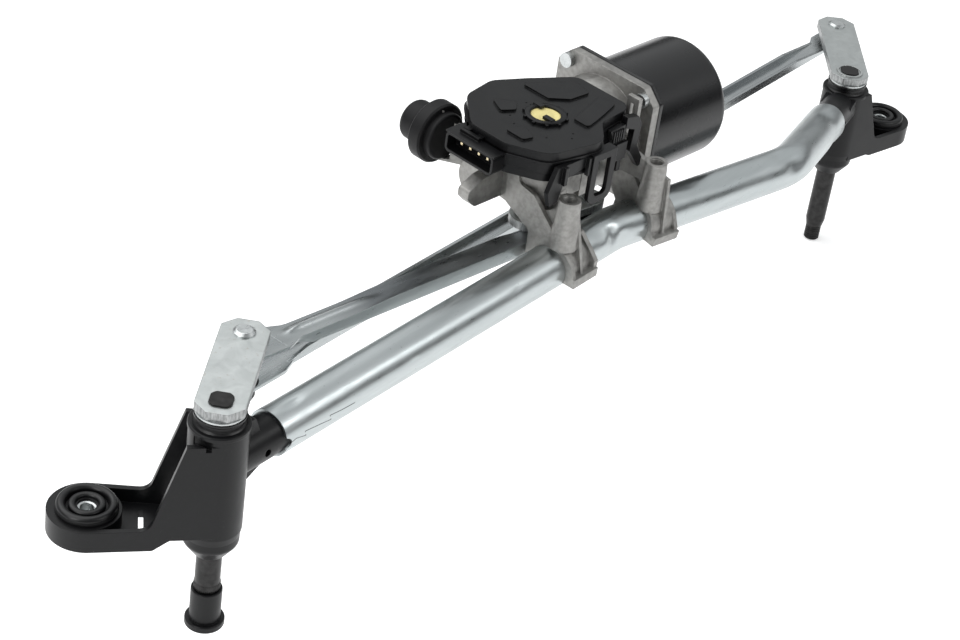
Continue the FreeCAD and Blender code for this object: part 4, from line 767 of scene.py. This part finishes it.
def connector_catch(make):
    """The lip round the connector's shroud and the raised catch on it."""
    catch = box((-44.2, 14, 1.2), (2.6, 14.0, 2.6))
    box((-39.4, 18.6, 1.2), (8.0, 4.2, 2.6), catch)
    box((-39.4, 8.6, 1.2), (8.0, 4.2, 2.6), catch)
    prism(CATCH_OUTLINE, 1.0, catch, -0.4)
    make.piece("connector_catch", catch, motor_frame(0, 0, CONNECTOR_TOP), "cover", "frame", "black_plastic")


def details(make):
    """Every piece that the frame's solids don't carry."""
    frame_tube(make)
    lock_seam(make)
    drive_link_skin(make)
    for side in MOUNTS:
        sleeve_face(make, side)
    for side in MOUNTS:
        grommet_ribs(make, side)
    splines(make)
    shaft_thread(make)
    for number in BOSSES:
        boss_thread(make, number)
    third_mount_ring(make)
    cover_details(make)
    cover_front(make)
    connector_catch(make)


def camera():
    """The photograph's camera: no shift and no depth of field."""
    azimuth, elevation = CAMERA_AZIMUTH, CAMERA_ELEVATION
    back = Vector((math.sin(azimuth) * math.cos(elevation),
                   -math.cos(azimuth) * math.cos(elevation), math.sin(elevation)))
    level = Vector((math.cos(azimuth), math.sin(azimuth), 0))
    above = back.cross(level)
    right = level * math.cos(CAMERA_ROLL) + above * math.sin(CAMERA_ROLL)
    up = above * math.cos(CAMERA_ROLL) - level * math.sin(CAMERA_ROLL)
    made = bpy.data.objects.new("camera", bpy.data.cameras.new("camera"))
    bpy.context.collection.objects.link(made)
    made.matrix_world = Matrix.Translation(CAMERA_PLACE) @ Matrix((right, up, back)).transposed().to_4x4()
    made.data.lens = CAMERA_LENS
    made.data.sensor_width = CAMERA_SENSOR
    made.data.clip_start, made.data.clip_end = CAMERA_NEAR, CAMERA_FAR
    bpy.context.scene.camera = made


def floor(height):
    """A plain pale floor that runs to the horizon."""
    reach = FLOOR_REACH
    spots = ((-reach, -reach), (reach, -reach), (reach, reach), (-reach, reach))
    mesh = bpy.data.meshes.new("floor")
    mesh.from_pydata([(x, y, height) for x, y in spots], [], [(0, 1, 2, 3)])
    made = bpy.data.objects.new("floor", mesh)
    bpy.context.collection.objects.link(made)
    look = Look("studio_floor", (0.92, 0.92, 0.92), 0.9)
    look.color_between(look.noise(0.6, detail=2), (0.91, 0.91, 0.91), (0.93, 0.93, 0.93))
    look.set("Emission Color", (1, 1, 1, 1))
    look.set("Emission Strength", FLOOR_GLOW)
    mesh.materials.append(look.material)


def softbox(name, place, target, width, height, power):
    """A rectangular studio light aimed at target."""
    data = bpy.data.lights.new(name, "AREA")
    data.shape = "RECTANGLE"
    data.size, data.size_y, data.energy = width, height, power
    made = bpy.data.objects.new(name, data)
    bpy.context.collection.objects.link(made)
    made.location = place
    made.rotation_euler = (Vector(target) - Vector(place)).to_track_quat("-Z", "Y").to_euler()


def sky():
    """Pale surroundings with a dark belt at the horizon, brighter behind the object."""
    world = bpy.data.worlds.new("studio")
    bpy.context.scene.world = world
    world.use_nodes = True
    tree = world.node_tree
    way = tree.nodes.new("ShaderNodeTexCoord").outputs["Generated"]
    split = tree.nodes.new("ShaderNodeSeparateXYZ")
    tree.links.new(way, split.inputs["Vector"])
    belts = []
    for stops in (FAR_SKY, NEAR_SKY):
        ramp = tree.nodes.new("ShaderNodeValToRGB")
        while len(ramp.color_ramp.elements) < len(stops):
            ramp.color_ramp.elements.new(0.5)
        for element, (height, level) in zip(ramp.color_ramp.elements, stops):
            element.position = height
            element.color = (level * 0.97, level * 0.99, level, 1)
        tree.links.new(split.outputs["Z"], ramp.inputs["Fac"])
        belts.append(ramp.outputs["Color"])
    aim = tree.nodes.new("ShaderNodeVectorMath")
    aim.operation = "DOT_PRODUCT"
    aim.inputs[1].default_value = (-math.sin(CAMERA_AZIMUTH), math.cos(CAMERA_AZIMUTH), 0)
    tree.links.new(way, aim.inputs[0])
    side = tree.nodes.new("ShaderNodeMapRange")
    side.inputs["From Min"].default_value = -0.3
    side.inputs["From Max"].default_value = 0.5
    tree.links.new(aim.outputs["Value"], side.inputs["Value"])
    mix = tree.nodes.new("ShaderNodeMix")
    mix.data_type = "RGBA"
    tree.links.new(side.outputs["Result"], mix.inputs["Factor"])
    tree.links.new(belts[1], mix.inputs["A"])
    tree.links.new(belts[0], mix.inputs["B"])
    tree.links.new(mix.outputs["Result"], tree.nodes["Background"].inputs["Color"])
    tree.nodes["Background"].inputs["Strength"].default_value = 1.0


def studio(middle):
    """Soft light from above and both sides."""
    sky()
    for name, (place, *measures) in LIGHTS.items():
        softbox(name, middle + Vector(place), middle, *measures)
    view = bpy.context.scene.view_settings
    view.view_transform = "Standard"
    view.look = "None"
    view.exposure = 0.0


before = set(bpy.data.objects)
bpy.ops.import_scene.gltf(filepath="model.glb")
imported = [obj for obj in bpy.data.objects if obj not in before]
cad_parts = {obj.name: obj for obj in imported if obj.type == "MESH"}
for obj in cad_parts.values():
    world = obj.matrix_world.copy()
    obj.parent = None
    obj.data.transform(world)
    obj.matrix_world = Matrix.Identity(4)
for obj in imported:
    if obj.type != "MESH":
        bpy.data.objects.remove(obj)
cad_box = corners(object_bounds())
camera()
low, high = (Vector(corner) for corner in cad_box)
floor(low.z - FLOOR_DROP)
studio((low + high) / 2)
materials = looks()
dress(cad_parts, materials)
details(Maker(materials))
